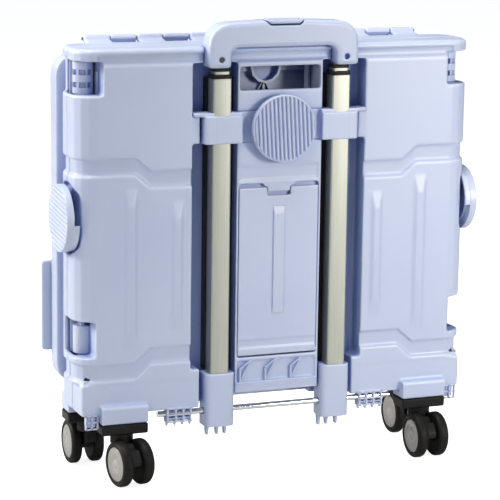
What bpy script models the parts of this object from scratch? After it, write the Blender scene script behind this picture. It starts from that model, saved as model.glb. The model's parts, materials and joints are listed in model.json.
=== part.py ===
"""Folding hobby trolley, folded flat: two shells with the side walls and floor stored between them.

Metres, +Z up, standing on z = 0. The shells part on the plane y = 0. The tube side faces -Y.
"""

import math

import bmesh
import bpy
from mathutils import Matrix, Vector

# Fits
GAP = 0.0003
RUNNING_GAP = 0.0004
OVERRUN = 0.004
BITE = 0.001
BLEND = 0.0015
WELD = 0.000001
FLAT_ANGLE = 0.0001
BEVEL_ANGLE = 0.6
SMOOTH_DEGREES = 46

# Shells
BODY_TOP = 0.470
BODY_FLOOR = 0.0755
BODY_HALF_WIDTH = 0.2295
SHELL_DEPTH = 0.0355
SHELL_WALL = 0.0055
CORNER_RADIUS = 0.024
TOP_EDGE_BEVEL = 0.003
FOOT_INSET = 0.0057
FOOT_HALF_WIDTH = BODY_HALF_WIDTH - FOOT_INSET
FOOT_TOP = 0.110
FOOT_CORNER_RADIUS = 0.002
CORNER_STEPS = 4

# Belt grooves round the shells
BELT_DEPTH = 0.003
BELT_HEIGHT = 0.0182
BELT_BEND_INSET = 0.0655
BELT_BEND_WIDTH = 0.018
BELT_BEND_OUT = BODY_HALF_WIDTH - BELT_BEND_INSET
BELT_BEND_IN = BELT_BEND_OUT - BELT_BEND_WIDTH
UPPER_BELT_DROP = 0.116
UPPER_BELT_STEP = 0.0148
UPPER_BELT_OUT_TOP = BODY_TOP - UPPER_BELT_DROP
UPPER_BELT_IN_TOP = UPPER_BELT_OUT_TOP - UPPER_BELT_STEP
LOWER_BELT_OUT_TOP = 0.1312
LOWER_BELT_STEP = 0.0154
LOWER_BELT_IN_TOP = LOWER_BELT_OUT_TOP + LOWER_BELT_STEP

# Raised ribs on the panels
RIB_RISE = 0.0025
RIB_FADE = 0.022
OUTER_RIB_INSET = 0.0605
OUTER_RIB_DROP = 0.146
INNER_RIB_DROP = 0.162
OUTER_RIB = {
    "centre": BODY_HALF_WIDTH - OUTER_RIB_INSET,
    "half_width": 0.0075,
    "low": 0.144,
    "high": BODY_TOP - OUTER_RIB_DROP,
}
INNER_RIB = {"centre": 0.1165, "half_width": 0.0065, "low": 0.161, "high": BODY_TOP - INNER_RIB_DROP}
RIB_TOP_SHARE = 0.55

# Recessed band under the top edge
BAND_INSET = 0.0235
BAND_DROP = 0.015
BAND_HEIGHT = 0.0085
BAND_HALF_WIDTH = BODY_HALF_WIDTH - BAND_INSET
BAND_LOW = BODY_TOP - BAND_DROP
BAND_HIGH = BAND_LOW + BAND_HEIGHT
BAND_DEPTH = 0.003

# Channels that the tubes stand in
CHANNEL_IN = 0.049
CHANNEL_OUT = 0.1003
CHANNEL_FOOT_OUT = 0.0900
CHANNEL_DEPTH = 0.023
CHANNEL_DROP = 0.0175
CHANNEL_TOP = BODY_TOP - CHANNEL_DROP
CHANNEL_STEP = 0.1185
CHANNEL_WALL = 0.0025

# Middle column between the channels
WINDOW_DROP = 0.0225
WINDOW_HEIGHT = 0.0255
WINDOW_HIGH = BODY_TOP - WINDOW_DROP
WINDOW_LOW = WINDOW_HIGH - WINDOW_HEIGHT
COLUMN_FLOOR = 0.088
HATCH_DROP = 0.150
HATCH_OPENING_LOW = 0.1276
HATCH_OPENING_HIGH = BODY_TOP - HATCH_DROP
HATCH_LINTEL = 0.003
HATCH_FRAME_HEIGHT = 0.017
HATCH_FRAME_LOW = HATCH_OPENING_HIGH + HATCH_LINTEL
HATCH_FRAME_HIGH = HATCH_FRAME_LOW + HATCH_FRAME_HEIGHT
HATCH_FRAME_DEPTH = 0.0012
LEDGE_LOW = 0.1236
SKIRT_LOW = 0.0990
SKIRT_DEPTH = 0.0030
GUSSET_WIDTH = 0.0014
GUSSET_LEAN = 0.014
GUSSET_PLACES = (-0.030, 0.0, 0.030)
LATCH_HALF_WIDTH = 0.0133
LATCH_REACH = 0.0092
LATCH_LOW = HATCH_OPENING_HIGH - LATCH_REACH
LATCH_SHOULDER_HALF_WIDTH = 0.0176
LATCH_SHOULDER_REACH = 0.0035
LATCH_SHOULDER_LOW = HATCH_OPENING_HIGH - LATCH_SHOULDER_REACH

# Corner pockets that show the wall hinges
NECK_INSET = 0.007
NECK_DROP = 0.012
NECK_HEIGHT = 0.037
NECK_HALF_WIDTH = BODY_HALF_WIDTH - NECK_INSET
NECK_HIGH = BODY_TOP - NECK_DROP
NECK_LOW = NECK_HIGH - NECK_HEIGHT
UPPER_POCKET_WIDTH = 0.0305
UPPER_POCKET = {"inner": BODY_HALF_WIDTH - UPPER_POCKET_WIDTH, "low": NECK_LOW, "high": NECK_HIGH - BITE}
LOWER_POCKET_WIDTH = 0.0217
LOWER_POCKET = {"inner": BODY_HALF_WIDTH - LOWER_POCKET_WIDTH, "low": 0.139, "high": 0.1785}
POCKET_LINER = 0.0025
POCKET_LINER_BACK = -0.0106
NOTCH_INSET = 0.0125
NOTCH_HALF_WIDTH = BODY_HALF_WIDTH - NOTCH_INSET
NOTCH_DEPTH = 0.010
KNUCKLE_SLOT_HEIGHT = 0.0057
KNUCKLE_SLOT_RISE = 0.0022
KNUCKLE_SLOT_PITCH = 0.0134
KNUCKLE_SLOTS = (NECK_LOW + KNUCKLE_SLOT_RISE, NECK_LOW + KNUCKLE_SLOT_RISE + KNUCKLE_SLOT_PITCH)
KNUCKLE_SLOT_REACH = 0.006

# Side walls folded inwards on upright hinges
HINGE_INSET = 0.0165
HINGE_X = BODY_HALF_WIDTH - HINGE_INSET
HINGE_SPREAD = 0.004
MIDDLE_HINGE_PLACE = 0.045
WALL_HALF_LENGTH = HINGE_X - MIDDLE_HINGE_PLACE
WALL_THICKNESS = 0.006
WALL_DROP = 0.026
WALL_LOW = 0.0965
WALL_HIGH = BODY_TOP - WALL_DROP
WALL_START_INSET = 0.013
WALL_START = HINGE_X - WALL_START_INSET
BARREL_RADIUS = 0.0036
BARREL_DROP = 0.0058
BARREL_LOW = 0.0923
BARREL_HIGH = BODY_TOP - BARREL_DROP
WEB_DROP = 0.030
WEB_LOW = 0.182
WEB_HIGH = WALL_HIGH - WEB_DROP
TRUNNION_RADIUS = 0.0020
TRUNNION_REACH = 0.0034
BARREL_SIDES = 8
HINGE_BLOCK_HALF = 0.008
HINGE_BLOCK_DEPTH = 0.0115
MID_PIN_RADIUS = 0.0015
MID_KNUCKLES = 4
WALL_PANEL_MARGIN = 0.020
WALL_PANEL_DEPTH = 0.002

# Floor panel stored in the front shell
BASE_INSET = 0.0245
BASE_DROP = 0.020
BASE_HALF_WIDTH = BODY_HALF_WIDTH - BASE_INSET
BASE_TOP = BODY_TOP - BASE_DROP
BASE_THICKNESS = 0.0147
BASE_FRAME = 0.014
BASE_PANEL_DEPTH = 0.004
RING_DROP = 0.009
RING_CENTRE_Z = BASE_TOP - RING_DROP
RING_RADIUS = 0.018
RING_WALL = 0.003
RING_RISE = 0.006
BASE_RIB_WIDTH = 0.003

# Lid hanging outside the front shell
LID_NEAR_Y = 0.0400
LID_RIM_DEPTH = 0.0220
LID_PLATE = 0.0030
LID_RIM = 0.0026
LID_DROP = 0.012
LID_HALF_WIDTH = BODY_HALF_WIDTH
LID_LOW = 0.0950
LID_HIGH = BODY_TOP - LID_DROP
LID_CORNER_RADIUS = 0.022
LID_PIN_Y = 0.0515
LID_PIN_RISE = 0.0025
LID_PIN_Z = BODY_TOP + LID_PIN_RISE
LID_PIN_RADIUS = 0.0018
LID_KNUCKLE_RADIUS = 0.0042
LID_HINGE_INSET = 0.0335
LID_HINGE_HALF_LENGTH = BODY_HALF_WIDTH - LID_HINGE_INSET
LID_KNUCKLES = 13
LID_RIBS = (-0.115, 0.0, 0.115)
LID_RIB_WIDTH = 0.0025
LID_RIB_RISE = 0.0045
SIDE_PLATE_REACH = 0.0103
SIDE_PLATE_OVERLAP = 0.0335
SIDE_PLATE = {
    "outer": BODY_HALF_WIDTH + SIDE_PLATE_REACH,
    "inner": BODY_HALF_WIDTH - SIDE_PLATE_OVERLAP,
    "low": 0.128,
    "high": 0.229,
}
SIDE_PLATE_THICKNESS = 0.0035
SIDE_PLATE_RADIUS = 0.004
LEAF_THICKNESS = 0.0040

# Twist knobs
KNOB_RADIUS = 0.0367
KNOB_THICKNESS = 0.0085
KNOB_SKIRT_DEPTH = 0.0145
KNOB_SKIRT_WALL = 0.0030
KNOB_SKIRT_STEP = 0.0004
KNOB_RIBS = 15
KNOB_GROOVE_SHARE = 0.46
KNOB_GROOVE_DEPTH = 0.0014
KNOB_HUB_RADIUS = 0.011
KNOB_PIN_RADIUS = 0.0040
KNOB_PIN_REACH = 0.0030
KNOB_STEPS = 24
SIDE_KNOB_PROUD = 0.0105
SIDE_KNOB_DROP = 0.1825
SIDE_KNOB_FACE_X = BODY_HALF_WIDTH + SIDE_KNOB_PROUD
SIDE_KNOB_Z = BODY_TOP - SIDE_KNOB_DROP
KNOB_RECESS_RADIUS = 0.0388
KNOB_RECESS_DEPTH = 0.007
KNOB_RECESS_X = BODY_HALF_WIDTH - KNOB_RECESS_DEPTH
KNOB_RECESS_WALL = 0.003
KNOB_LUG_RADIUS = 0.015
KNOB_LUG_DEPTH = 0.0045
KNOB_LUG_PROUD = 0.0006
SIDE_KNOB_TILT = 0.10
BRACKET_KNOB_TILT = -0.063

# Telescopic tubes
TUBE_X = 0.0688
TUBE_Y = -0.0319
TUBE_WIDTH = 0.0210
TUBE_DEPTH = 0.0180
TUBE_WALL = 0.0013
TUBE_RADIUS = 0.0040
TUBE_FIT = 0.0004
TUBE_DROP = 0.0344
TUBE_TOP = BODY_TOP - TUBE_DROP
TUBE_FOOT = 0.0785
COLLAR_PROUD = 0.0010
COLLAR_HEIGHT = 0.0046
BRIGHT_BAND = 0.0028
MIDDLE_COLLAR_HEIGHT = 0.0037
MIDDLE_FOOT = 0.105
INNER_FOOT = 0.125
GUIDE_IN = 0.0505
GUIDE_OUT = 0.0812
GUIDE_THICKNESS = 0.0094
GUIDE_LOW = 0.1150
GUIDE_PIP_DROP = 0.0116
GUIDE_PIP_PITCH = 0.0105
GUIDE_PIPS = (TUBE_TOP - GUIDE_PIP_DROP - GUIDE_PIP_PITCH, TUBE_TOP - GUIDE_PIP_DROP)
GUIDE_PIP = 0.0024

# Sockets, rod and hinge blocks
SOCKET_IN = 0.0512
SOCKET_OUT = 0.0848
SOCKET_WALL = 0.0031
SOCKET_FRONT = TUBE_Y - TUBE_DEPTH / 2 - SOCKET_WALL
SOCKET_BACK = TUBE_Y + TUBE_DEPTH / 2 + SOCKET_WALL
SOCKET_LOW = 0.0537
SOCKET_HIGH = 0.1132
SOCKET_RADIUS = 0.0070
COMB_LOW = 0.0402
COMB_HALF_DEPTH = 0.003
COMB_Y = -0.023
COMB_PLACES = (0.0562, 0.0655, 0.0770)
COMB_HALF_WIDTH = 0.0026
COMB_TIP_SHARE = 0.45
ROD_Y = -0.0325
ROD_Z = 0.0710
ROD_RADIUS = 0.0033
ROD_HALF_LENGTH = 0.138
ROD_SIDES = 12
ROD_BLOCK = {"inner": 0.0992, "outer": 0.1284, "low": 0.0645}
ROD_BLOCK_FRONT = -0.0370
ROD_BLOCK_BACK = -0.0262
ROD_RIBS = (0.1004, 0.1083, 0.1173, 0.1270)
ROD_RIB_WIDTH = 0.0024
ROD_RIB_TIP = 0.0035
ROD_WEB = 0.0018

# Tube bracket
CLAMP_IN = 0.0462
CLAMP_OUT = 0.0890
CLAMP_DROP = 0.1038
CLAMP_HEIGHT = 0.0298
CLAMP_LOW = BODY_TOP - CLAMP_DROP
CLAMP_HIGH = CLAMP_LOW + CLAMP_HEIGHT
CLAMP_FRONT = -0.0440
CLAMP_BACK = -0.0232
CLAMP_RADIUS = 0.0045
CLAMP_SEAM_X = 0.0770
CLAMP_SEAM = 0.0006
BRIDGE_FRONT = -0.0352
BRIDGE_THICKNESS = 0.0027
FLANGE_THICKNESS = 0.0036
FLANGE_HIGH = CLAMP_HIGH + FLANGE_THICKNESS
FLANGE_FRONT = -0.0412
FLANGE_TIP = 0.0998
WING_IN = 0.0920

# Grip, button and screws
GRIP_HALF_WIDTH = 0.0862
GRIP_LEG_IN = 0.0605
GRIP_LEG_DROP = 0.0224
GRIP_LOW = BODY_TOP - GRIP_LEG_DROP
GRIP_BAR_DROP = 0.001
GRIP_BAR_LOW = BODY_TOP - GRIP_BAR_DROP
GRIP_RISE = 0.0284
GRIP_CROWN = BODY_TOP + GRIP_RISE
GRIP_CROWN_HEIGHT = 0.0039
GRIP_SHOULDER = GRIP_CROWN - GRIP_CROWN_HEIGHT
GRIP_CROWN_RADIUS = 0.1724
GRIP_ROOF = 0.0144
INNER_TOP = GRIP_CROWN - GRIP_ROOF
GRIP_OUTER_RADIUS = 0.0230
GRIP_INNER_RADIUS = 0.0090
GRIP_FRONT = -0.0478
GRIP_BACK = -0.0215
GRIP_EDGE = 0.0040
GRIP_NOTCH_GAP = 0.0010
BUTTON_HALF_TOP = 0.0224
BUTTON_HALF_LOW = 0.0172
BUTTON_HEIGHT = 0.0048
BUTTON_LOW = GRIP_CROWN - BUTTON_HEIGHT
BUTTON_BACK = -0.0290
BUTTON_TRAVEL = 0.0012
BUTTON_SUNK = 0.0002
SCREW_X = 0.0722
SCREW_RISE = 0.0092
SCREW_Z = GRIP_LOW + SCREW_RISE
SCREW_RADIUS = 0.0031
SCREW_DEPTH = 0.0060
SCREW_SLOT = 0.0009
SCREW_SLOT_REACH = 0.0021
SCREW_HOLE_RADIUS = 0.0034

# Hatch door
DOOR_HALF_WIDTH = 0.0460
DOOR_LOW = 0.1293
DOOR_TOP_GAP = 0.0044
DOOR_HIGH = HATCH_OPENING_HIGH - DOOR_TOP_GAP
DOOR_THICKNESS = 0.0032
DOOR_PIN_Y = -0.0337
DOOR_PIN_Z = 0.1318
DOOR_PIN_RADIUS = 0.0009
DOOR_NOTCH_DEPTH = 0.0091
DOOR_NOTCH_LOW = DOOR_HIGH - DOOR_NOTCH_DEPTH
DOOR_RIB_DROP = 0.0216
DOOR_RIB = {"centre": 0.0, "half_width": 0.0075, "low": 0.176, "high": DOOR_HIGH - DOOR_RIB_DROP}
DOOR_RIB_RISE = 0.0012
DOOR_BAND_LOW = 0.1372
DOOR_BAND_HIGH = 0.1468
DOOR_BAND_DEPTH = 0.0009

# Casters
WHEEL_RADIUS = 0.0250
WHEEL_WIDTH = 0.0120
WHEEL_OFFSET = 0.0125
WHEEL_SHOULDER = 0.0032
HUB_RADIUS = 0.0188
HUB_SUNK = 0.0008
WHEEL_BORE_RADIUS = 0.0030
WHEEL_STEPS = 20
WHEEL_ARCH_GAP = 0.0010
AXLE_RADIUS = 0.0025
AXLE_END_INSET = 0.0014
CASTER_TRAIL = 0.0200
FORK_HALF_WIDTH = 0.0058
FORK_HUB_RADIUS = 0.0075
FORK_TOP = 0.0440
FORK_FOOT_RADIUS = 0.0067
SWIVEL_RADIUS = 0.0125
SWIVEL_LOW = 0.0423
SWIVEL_HIGH = 0.0540
STEM_RADIUS = 0.0045
STEM_TOP = 0.0600
PLATE_HALF_WIDTH = 0.0262
PLATE_HALF_DEPTH = 0.0138
PLATE_LOW = 0.0543
PLATE_HIGH = 0.0660
PLATE_EDGE = 0.0015
CASTER_BOX_TOP = 0.0860
CASTER_BOX_SLOPE = 0.0020
REAR_CASTER_INSET = 0.0522
FRONT_CASTER_INSET = 0.033
REAR_CASTER_X = BODY_HALF_WIDTH - REAR_CASTER_INSET
FRONT_CASTER_X = BODY_HALF_WIDTH - FRONT_CASTER_INSET
REAR_CASTER_Y = -0.0300
REAR_LEFT_SWIVEL = 0.164
BRAKE_HALF_WIDTH = 0.0050
BRAKE_THICKNESS = 0.0030
BRAKE_PIVOT_Y = -0.0285
BRAKE_PIVOT_Z = 0.0372
BRAKE_PIVOT_RADIUS = 0.0032
BRAKE_REACH = 0.0096
BRAKE_BEND = 0.0064
BRAKE_DROP = 0.0128
CORNER_BLOCK_INSET = 0.0123
CORNER_BLOCK_LOW = 0.0625
CORNER_BLOCK_DEPTH = 0.014

# Colours, roughness and metal share
PLASTIC = ((0.46, 0.50, 0.66), 0.42, 0.0)
PLASTIC_SHADE = ((0.43, 0.47, 0.63), 0.45, 0.0)
SILVER = ((0.62, 0.63, 0.56), 0.30, 0.9)
BLACK = ((0.012, 0.012, 0.014), 0.45, 0.0)
STEEL = ((0.55, 0.56, 0.55), 0.22, 1.0)
WHEEL_BLACK = ((0.010, 0.009, 0.008), 0.38, 0.0)

AXES = {"x": (1, 2, 0), "y": (0, 2, 1), "z": (0, 1, 2)}


def clear_scene():
    for item in list(bpy.data.objects):
        bpy.data.objects.remove(item, do_unlink=True)


def solid(bm):
    """An object made of the bmesh, with its faces pointing out."""
    bmesh.ops.recalc_face_normals(bm, faces=bm.faces)
    mesh = bpy.data.meshes.new("form")
    bm.to_mesh(mesh)
    bm.free()
    form = bpy.data.objects.new("form", mesh)
    bpy.context.scene.collection.objects.link(form)
    return form


def skin_rings(bm, rings, closed=False):
    """Faces between neighbouring rings of points. A ring of one point is a pole."""
    pairs = list(zip(rings, rings[1:]))
    if closed:
        pairs.append((rings[-1], rings[0]))
    for low, high in pairs:
        count = max(len(low), len(high))
        for i in range(count):
            j = (i + 1) % count
            corners = [low[i % len(low)], low[j % len(low)], high[j % len(high)], high[i % len(high)]]
            unique = list(dict.fromkeys(corners))
            if len(unique) > 2:
                bm.faces.new(unique)


def loft(levels, axis="z"):
    """A solid through outlines of as many points each, at (height, outline) levels along an axis."""
    first, second, third = AXES[axis]
    bm = bmesh.new()
    rings = []
    for height, points in levels:
        ring = []
        for a, b in points:
            place = [0.0, 0.0, 0.0]
            place[first], place[second], place[third] = a, b, height
            ring.append(bm.verts.new(place))
        rings.append(ring)
    bm.faces.new(rings[0])
    bm.faces.new(list(reversed(rings[-1])))
    skin_rings(bm, rings)
    return solid(bm)


def prism(points, axis, low, high):
    return loft([(low, points), (high, points)], axis)


def block(x0, x1, y0, y1, z0, z1):
    return prism([(x0, y0), (x1, y0), (x1, y1), (x0, y1)], "z", z0, z1)


def turned(profile, steps, axis="z", centre=(0.0, 0.0, 0.0), closed=False):
    """A solid of revolution of a (radius, height) profile about a line along an axis through centre."""
    first, second, third = AXES[axis]
    bm = bmesh.new()
    rings = []
    for radius, height in profile:
        ring = []
        for i in range(steps if radius else 1):
            angle = 2 * math.pi * i / steps
            place = list(centre)
            place[first] += radius * math.cos(angle)
            place[second] += radius * math.sin(angle)
            place[third] += height
            ring.append(bm.verts.new(place))
        rings.append(ring)
    skin_rings(bm, rings, closed)
    return solid(bm)


def cylinder(radius, axis, centre, low, high, steps=BARREL_SIDES):
    """A round bar from low to high along an axis, whose line passes through centre."""
    profile = [(0.0, low), (radius, low), (radius, high), (0.0, high)]
    flat = list(centre)
    flat["xyz".index(axis)] = 0.0
    return turned(profile, steps, axis, flat)


def rounded(corners, steps=CORNER_STEPS):
    """An outline whose (x, y, radius) corners are rounded by arcs."""
    points = []
    for i, (x, y, radius) in enumerate(corners):
        here = Vector((x, y))
        if not radius:
            points.append((x, y))
            continue
        back = (Vector(corners[i - 1][:2]) - here).normalized()
        ahead = (Vector(corners[(i + 1) % len(corners)][:2]) - here).normalized()
        half = back.angle(ahead) / 2
        reach = radius / math.tan(half)
        centre = here + (back + ahead).normalized() * (radius / math.sin(half))
        start = here + back * reach - centre
        sweep = start.angle_signed(here + ahead * reach - centre)
        for k in range(steps + 1):
            angle = -sweep * k / steps
            points.append(tuple(centre + Matrix.Rotation(angle, 2) @ start))
    return points


def rectangle(x0, x1, y0, y1, radius, steps=CORNER_STEPS):
    return rounded([(x0, y0, radius), (x1, y0, radius), (x1, y1, radius), (x0, y1, radius)], steps)


def tidied(mesh):
    """Merges doubled points and flat neighbouring faces in a mesh."""
    bm = bmesh.new()
    bm.from_mesh(mesh)
    bmesh.ops.remove_doubles(bm, verts=bm.verts, dist=WELD)
    bmesh.ops.dissolve_limit(bm, angle_limit=FLAT_ANGLE, verts=bm.verts, edges=bm.edges)
    bm.to_mesh(mesh)
    bm.free()


def boolean(form, others, operation):
    """The form after a Boolean with each of the others, which are used up."""
    for other in others:
        modifier = form.modifiers.new("form", "BOOLEAN")
        modifier.operation = operation
        modifier.solver = "EXACT"
        modifier.object = other
        graph = bpy.context.evaluated_depsgraph_get()
        mesh = bpy.data.meshes.new_from_object(form.evaluated_get(graph))
        form.modifiers.clear()
        tidied(mesh)
        form.data = mesh
        bpy.data.objects.remove(other, do_unlink=True)
    return form


def cut(form, *others):
    return boolean(form, others, "DIFFERENCE")


def join(form, *others):
    return boolean(form, others, "UNION")


def bevel(form, width, segments=2):
    """Rounds the form's sharp edges."""
    modifier = form.modifiers.new("bevel", "BEVEL")
    modifier.width = width
    modifier.segments = segments
    modifier.limit_method = "ANGLE"
    modifier.angle_limit = BEVEL_ANGLE
    graph = bpy.context.evaluated_depsgraph_get()
    mesh = bpy.data.meshes.new_from_object(form.evaluated_get(graph))
    form.modifiers.clear()
    form.data = mesh
    return form


def mirrored(form, axis):
    """The form itself, mirrored through the origin's plane across an axis."""
    scale = [1, 1, 1]
    scale["xyz".index(axis)] = -1
    form.data.transform(Matrix.Diagonal((*scale, 1)))
    form.data.flip_normals()
    return form


def both_sides(make):
    """What make() gives, and its mirror image across x = 0."""
    return [make(), mirrored(make(), "x")]


def triangulated(mesh):
    bm = bmesh.new()
    bm.from_mesh(mesh)
    bmesh.ops.triangulate(bm, faces=bm.faces, quad_method="BEAUTY", ngon_method="BEAUTY")
    bm.to_mesh(mesh)
    bm.free()


def finish(form, name, look):
    """Names the form and gives it its own material."""
    triangulated(form.data)
    form.name = name
    form.data.name = name
    colour, roughness, metallic = look
    material = bpy.data.materials.new(name)
    material.use_nodes = True
    shader = material.node_tree.nodes["Principled BSDF"]
    shader.inputs["Base Color"].default_value = (*colour, 1.0)
    shader.inputs["Roughness"].default_value = roughness
    shader.inputs["Metallic"].default_value = metallic
    form.data.materials.clear()
    form.data.materials.append(material)
    form.data.shade_smooth()
    form.data.set_sharp_from_angle(angle=math.radians(SMOOTH_DEGREES))
    return form


def pivot(name, place, parent=None):
    """An empty on a joint's axis. Its pieces are parented to it."""
    empty = bpy.data.objects.new(name, None)
    empty.empty_display_size = BARREL_RADIUS
    bpy.context.scene.collection.objects.link(empty)
    empty.parent = parent
    anchor = Vector(parent["place"]) if parent else Vector((0.0, 0.0, 0.0))
    empty.location = Vector(place) - anchor
    empty["place"] = tuple(place)
    return empty


def hang(empty, *pieces):
    """Parents pieces that were modelled in place to an empty, with their origins on it."""
    for piece in pieces:
        piece.data.transform(Matrix.Translation(-Vector(empty["place"])))
        piece.parent = empty


def shell_outline(inset, back):
    """Plan of the rear shell, from the parting plane round its two rounded corners."""
    width = BODY_HALF_WIDTH - inset
    face = -SHELL_DEPTH + inset
    radius = CORNER_RADIUS - inset
    return rounded([(-width, back, 0), (-width, face, radius), (width, face, radius), (width, back, 0)])


def belt_slabs():
    """The two belt bands as slabs that reach past the shell on the left and the right."""
    edge = BODY_HALF_WIDTH + OVERRUN
    inner = CHANNEL_OUT - OVERRUN
    slabs = []
    for outer_top, inner_top in (
        (UPPER_BELT_OUT_TOP, UPPER_BELT_IN_TOP),
        (LOWER_BELT_OUT_TOP, LOWER_BELT_IN_TOP),
    ):
        top = [(edge, outer_top), (BELT_BEND_OUT, outer_top), (BELT_BEND_IN, inner_top), (inner, inner_top)]
        low = [(x, z - BELT_HEIGHT) for x, z in reversed(top)]
        for side in (-1, 1):
            outline = [(side * x, z) for x, z in top + low]
            slabs.append(prism(outline, "y", -SHELL_DEPTH - OVERRUN, OVERRUN))
    return slabs


def belt_cutters():
    """The belt slabs without the shell's core, so that they cut BELT_DEPTH deep all round."""
    cutters = []
    for slab in belt_slabs():
        outline = shell_outline(BELT_DEPTH, OVERRUN * 2)
        core = prism(outline, "z", BODY_FLOOR, BODY_TOP)
        cutters.append(cut(slab, core))
    return cutters


def raised_rib(places, face, rise):
    """An upright rib on a face at y = face that grows out of it over RIB_FADE at both ends."""
    centre, half = places["centre"], places["half_width"]
    low, high = places["low"], places["high"]
    crest = half * RIB_TOP_SHARE
    base = [(centre - half, low), (centre + half, low), (centre + half, high), (centre - half, high)]
    top = [
        (centre - crest, low + RIB_FADE),
        (centre + crest, low + RIB_FADE),
        (centre + crest, high - RIB_FADE),
        (centre - crest, high - RIB_FADE),
    ]
    return loft([(face + GAP, base), (face - rise, top)], "y")


def shell_core():
    """A shell without its own features: body, foot and the hollow behind, with belts and knob recesses."""
    half_gap = GAP / 2
    body = loft(
        [
            (FOOT_TOP - BITE, shell_outline(0.0, -half_gap)),
            (BODY_TOP - TOP_EDGE_BEVEL, shell_outline(0.0, -half_gap)),
            (BODY_TOP, shell_outline(TOP_EDGE_BEVEL, -half_gap)),
        ]
    )
    foot_face = -SHELL_DEPTH + GAP
    foot_corners = [
        (-FOOT_HALF_WIDTH, -half_gap, 0),
        (-FOOT_HALF_WIDTH, foot_face, FOOT_CORNER_RADIUS),
        (FOOT_HALF_WIDTH, foot_face, FOOT_CORNER_RADIUS),
        (FOOT_HALF_WIDTH, -half_gap, 0),
    ]
    foot = prism(rounded(foot_corners, 2), "z", BODY_FLOOR, FOOT_TOP)
    body = join(body, foot)
    hollow_outline = shell_outline(SHELL_WALL, OVERRUN)
    hollow = prism(hollow_outline, "z", FOOT_TOP + SHELL_WALL, BODY_TOP - SHELL_WALL)
    foot_hollow = block(
        -FOOT_HALF_WIDTH + SHELL_WALL,
        FOOT_HALF_WIDTH - SHELL_WALL,
        foot_face + SHELL_WALL,
        OVERRUN * 2,
        BODY_FLOOR + SHELL_WALL,
        FOOT_TOP + SHELL_WALL + BITE,
    )
    hollow = join(hollow, foot_hollow)
    for side in (-1, 1):
        inner = KNOB_RECESS_X - KNOB_RECESS_WALL
        radius = KNOB_RECESS_RADIUS + KNOB_RECESS_WALL
        low, high = sorted((side * inner, side * (BODY_HALF_WIDTH + OVERRUN)))
        swelling = cylinder(radius, "x", (0, 0, SIDE_KNOB_Z), low, high, KNOB_STEPS // 2)
        hollow = cut(hollow, swelling)
        low, high = sorted((side * (HINGE_X - HINGE_BLOCK_HALF), side * BODY_HALF_WIDTH))
        shelf = block(low, high, -HINGE_BLOCK_DEPTH, OVERRUN * 2, BODY_FLOOR, BARREL_LOW - GAP)
        hollow = cut(hollow, shelf)
    return body, hollow


def knob_recesses():
    recesses = []
    for side in (-1, 1):
        low, high = sorted((side * KNOB_RECESS_X, side * (BODY_HALF_WIDTH + OVERRUN)))
        recesses.append(cylinder(KNOB_RECESS_RADIUS, "x", (0, 0, SIDE_KNOB_Z), low, high, KNOB_STEPS))
    return recesses


def hinge_bores():
    """Bores for the upright trunnions at the foot shelf and under the top wall, on both sides."""
    radius = TRUNNION_RADIUS + RUNNING_GAP
    reach = TRUNNION_REACH + GAP
    bores = []
    for side in (-1, 1):
        centre = (side * HINGE_X, -HINGE_SPREAD, 0)
        bores.append(cylinder(radius, "z", centre, BARREL_LOW - reach, BARREL_LOW + BITE))
        bores.append(cylinder(radius, "z", centre, BARREL_HIGH - BITE, BARREL_HIGH + reach))
    return bores


def caster_box(x, y):
    """The box that carries a caster plate: a pad under a shell and a step up its face."""
    near, far = y - PLATE_HALF_DEPTH, y + PLATE_HALF_DEPTH
    low, inside = PLATE_HIGH + GAP, BODY_FLOOR + BITE
    back = BITE - SHELL_DEPTH
    slope = CASTER_BOX_SLOPE
    outline = [
        (near, low),
        (far, low),
        (far, inside),
        (back, inside),
        (back, CASTER_BOX_TOP),
        (near + slope, CASTER_BOX_TOP),
        (near, CASTER_BOX_TOP - slope),
    ]
    return prism(outline, "x", x - PLATE_HALF_WIDTH, x + PLATE_HALF_WIDTH)


def rod_block():
    """A ribbed block under the rear shell that holds the rod, its comb tips pointing down."""
    inner, outer, low = ROD_BLOCK["inner"], ROD_BLOCK["outer"], ROD_BLOCK["low"]
    form = block(inner, outer, ROD_BLOCK_FRONT, ROD_BLOCK_BACK, low, BODY_FLOOR + BITE)
    windows = []
    for left, right in zip(ROD_RIBS, ROD_RIBS[1:]):
        windows.append(
            block(
                left + ROD_RIB_WIDTH / 2,
                right - ROD_RIB_WIDTH / 2,
                ROD_BLOCK_FRONT - OVERRUN,
                ROD_BLOCK_BACK - ROD_WEB,
                low + ROD_WEB,
                BODY_FLOOR - GAP,
            )
        )
    form = cut(form, *windows)
    for x in ROD_RIBS:
        half = ROD_RIB_WIDTH / 2
        base = [
            (x - half, ROD_BLOCK_FRONT),
            (x + half, ROD_BLOCK_FRONT),
            (x + half, ROD_Y),
            (x - half, ROD_Y),
        ]
        tip = [(a, ROD_BLOCK_FRONT + BITE if b < ROD_Y else ROD_Y - BITE) for a, b in base]
        form = join(form, loft([(low - ROD_RIB_TIP, tip), (low + BITE, base)]))
    return form


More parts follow.
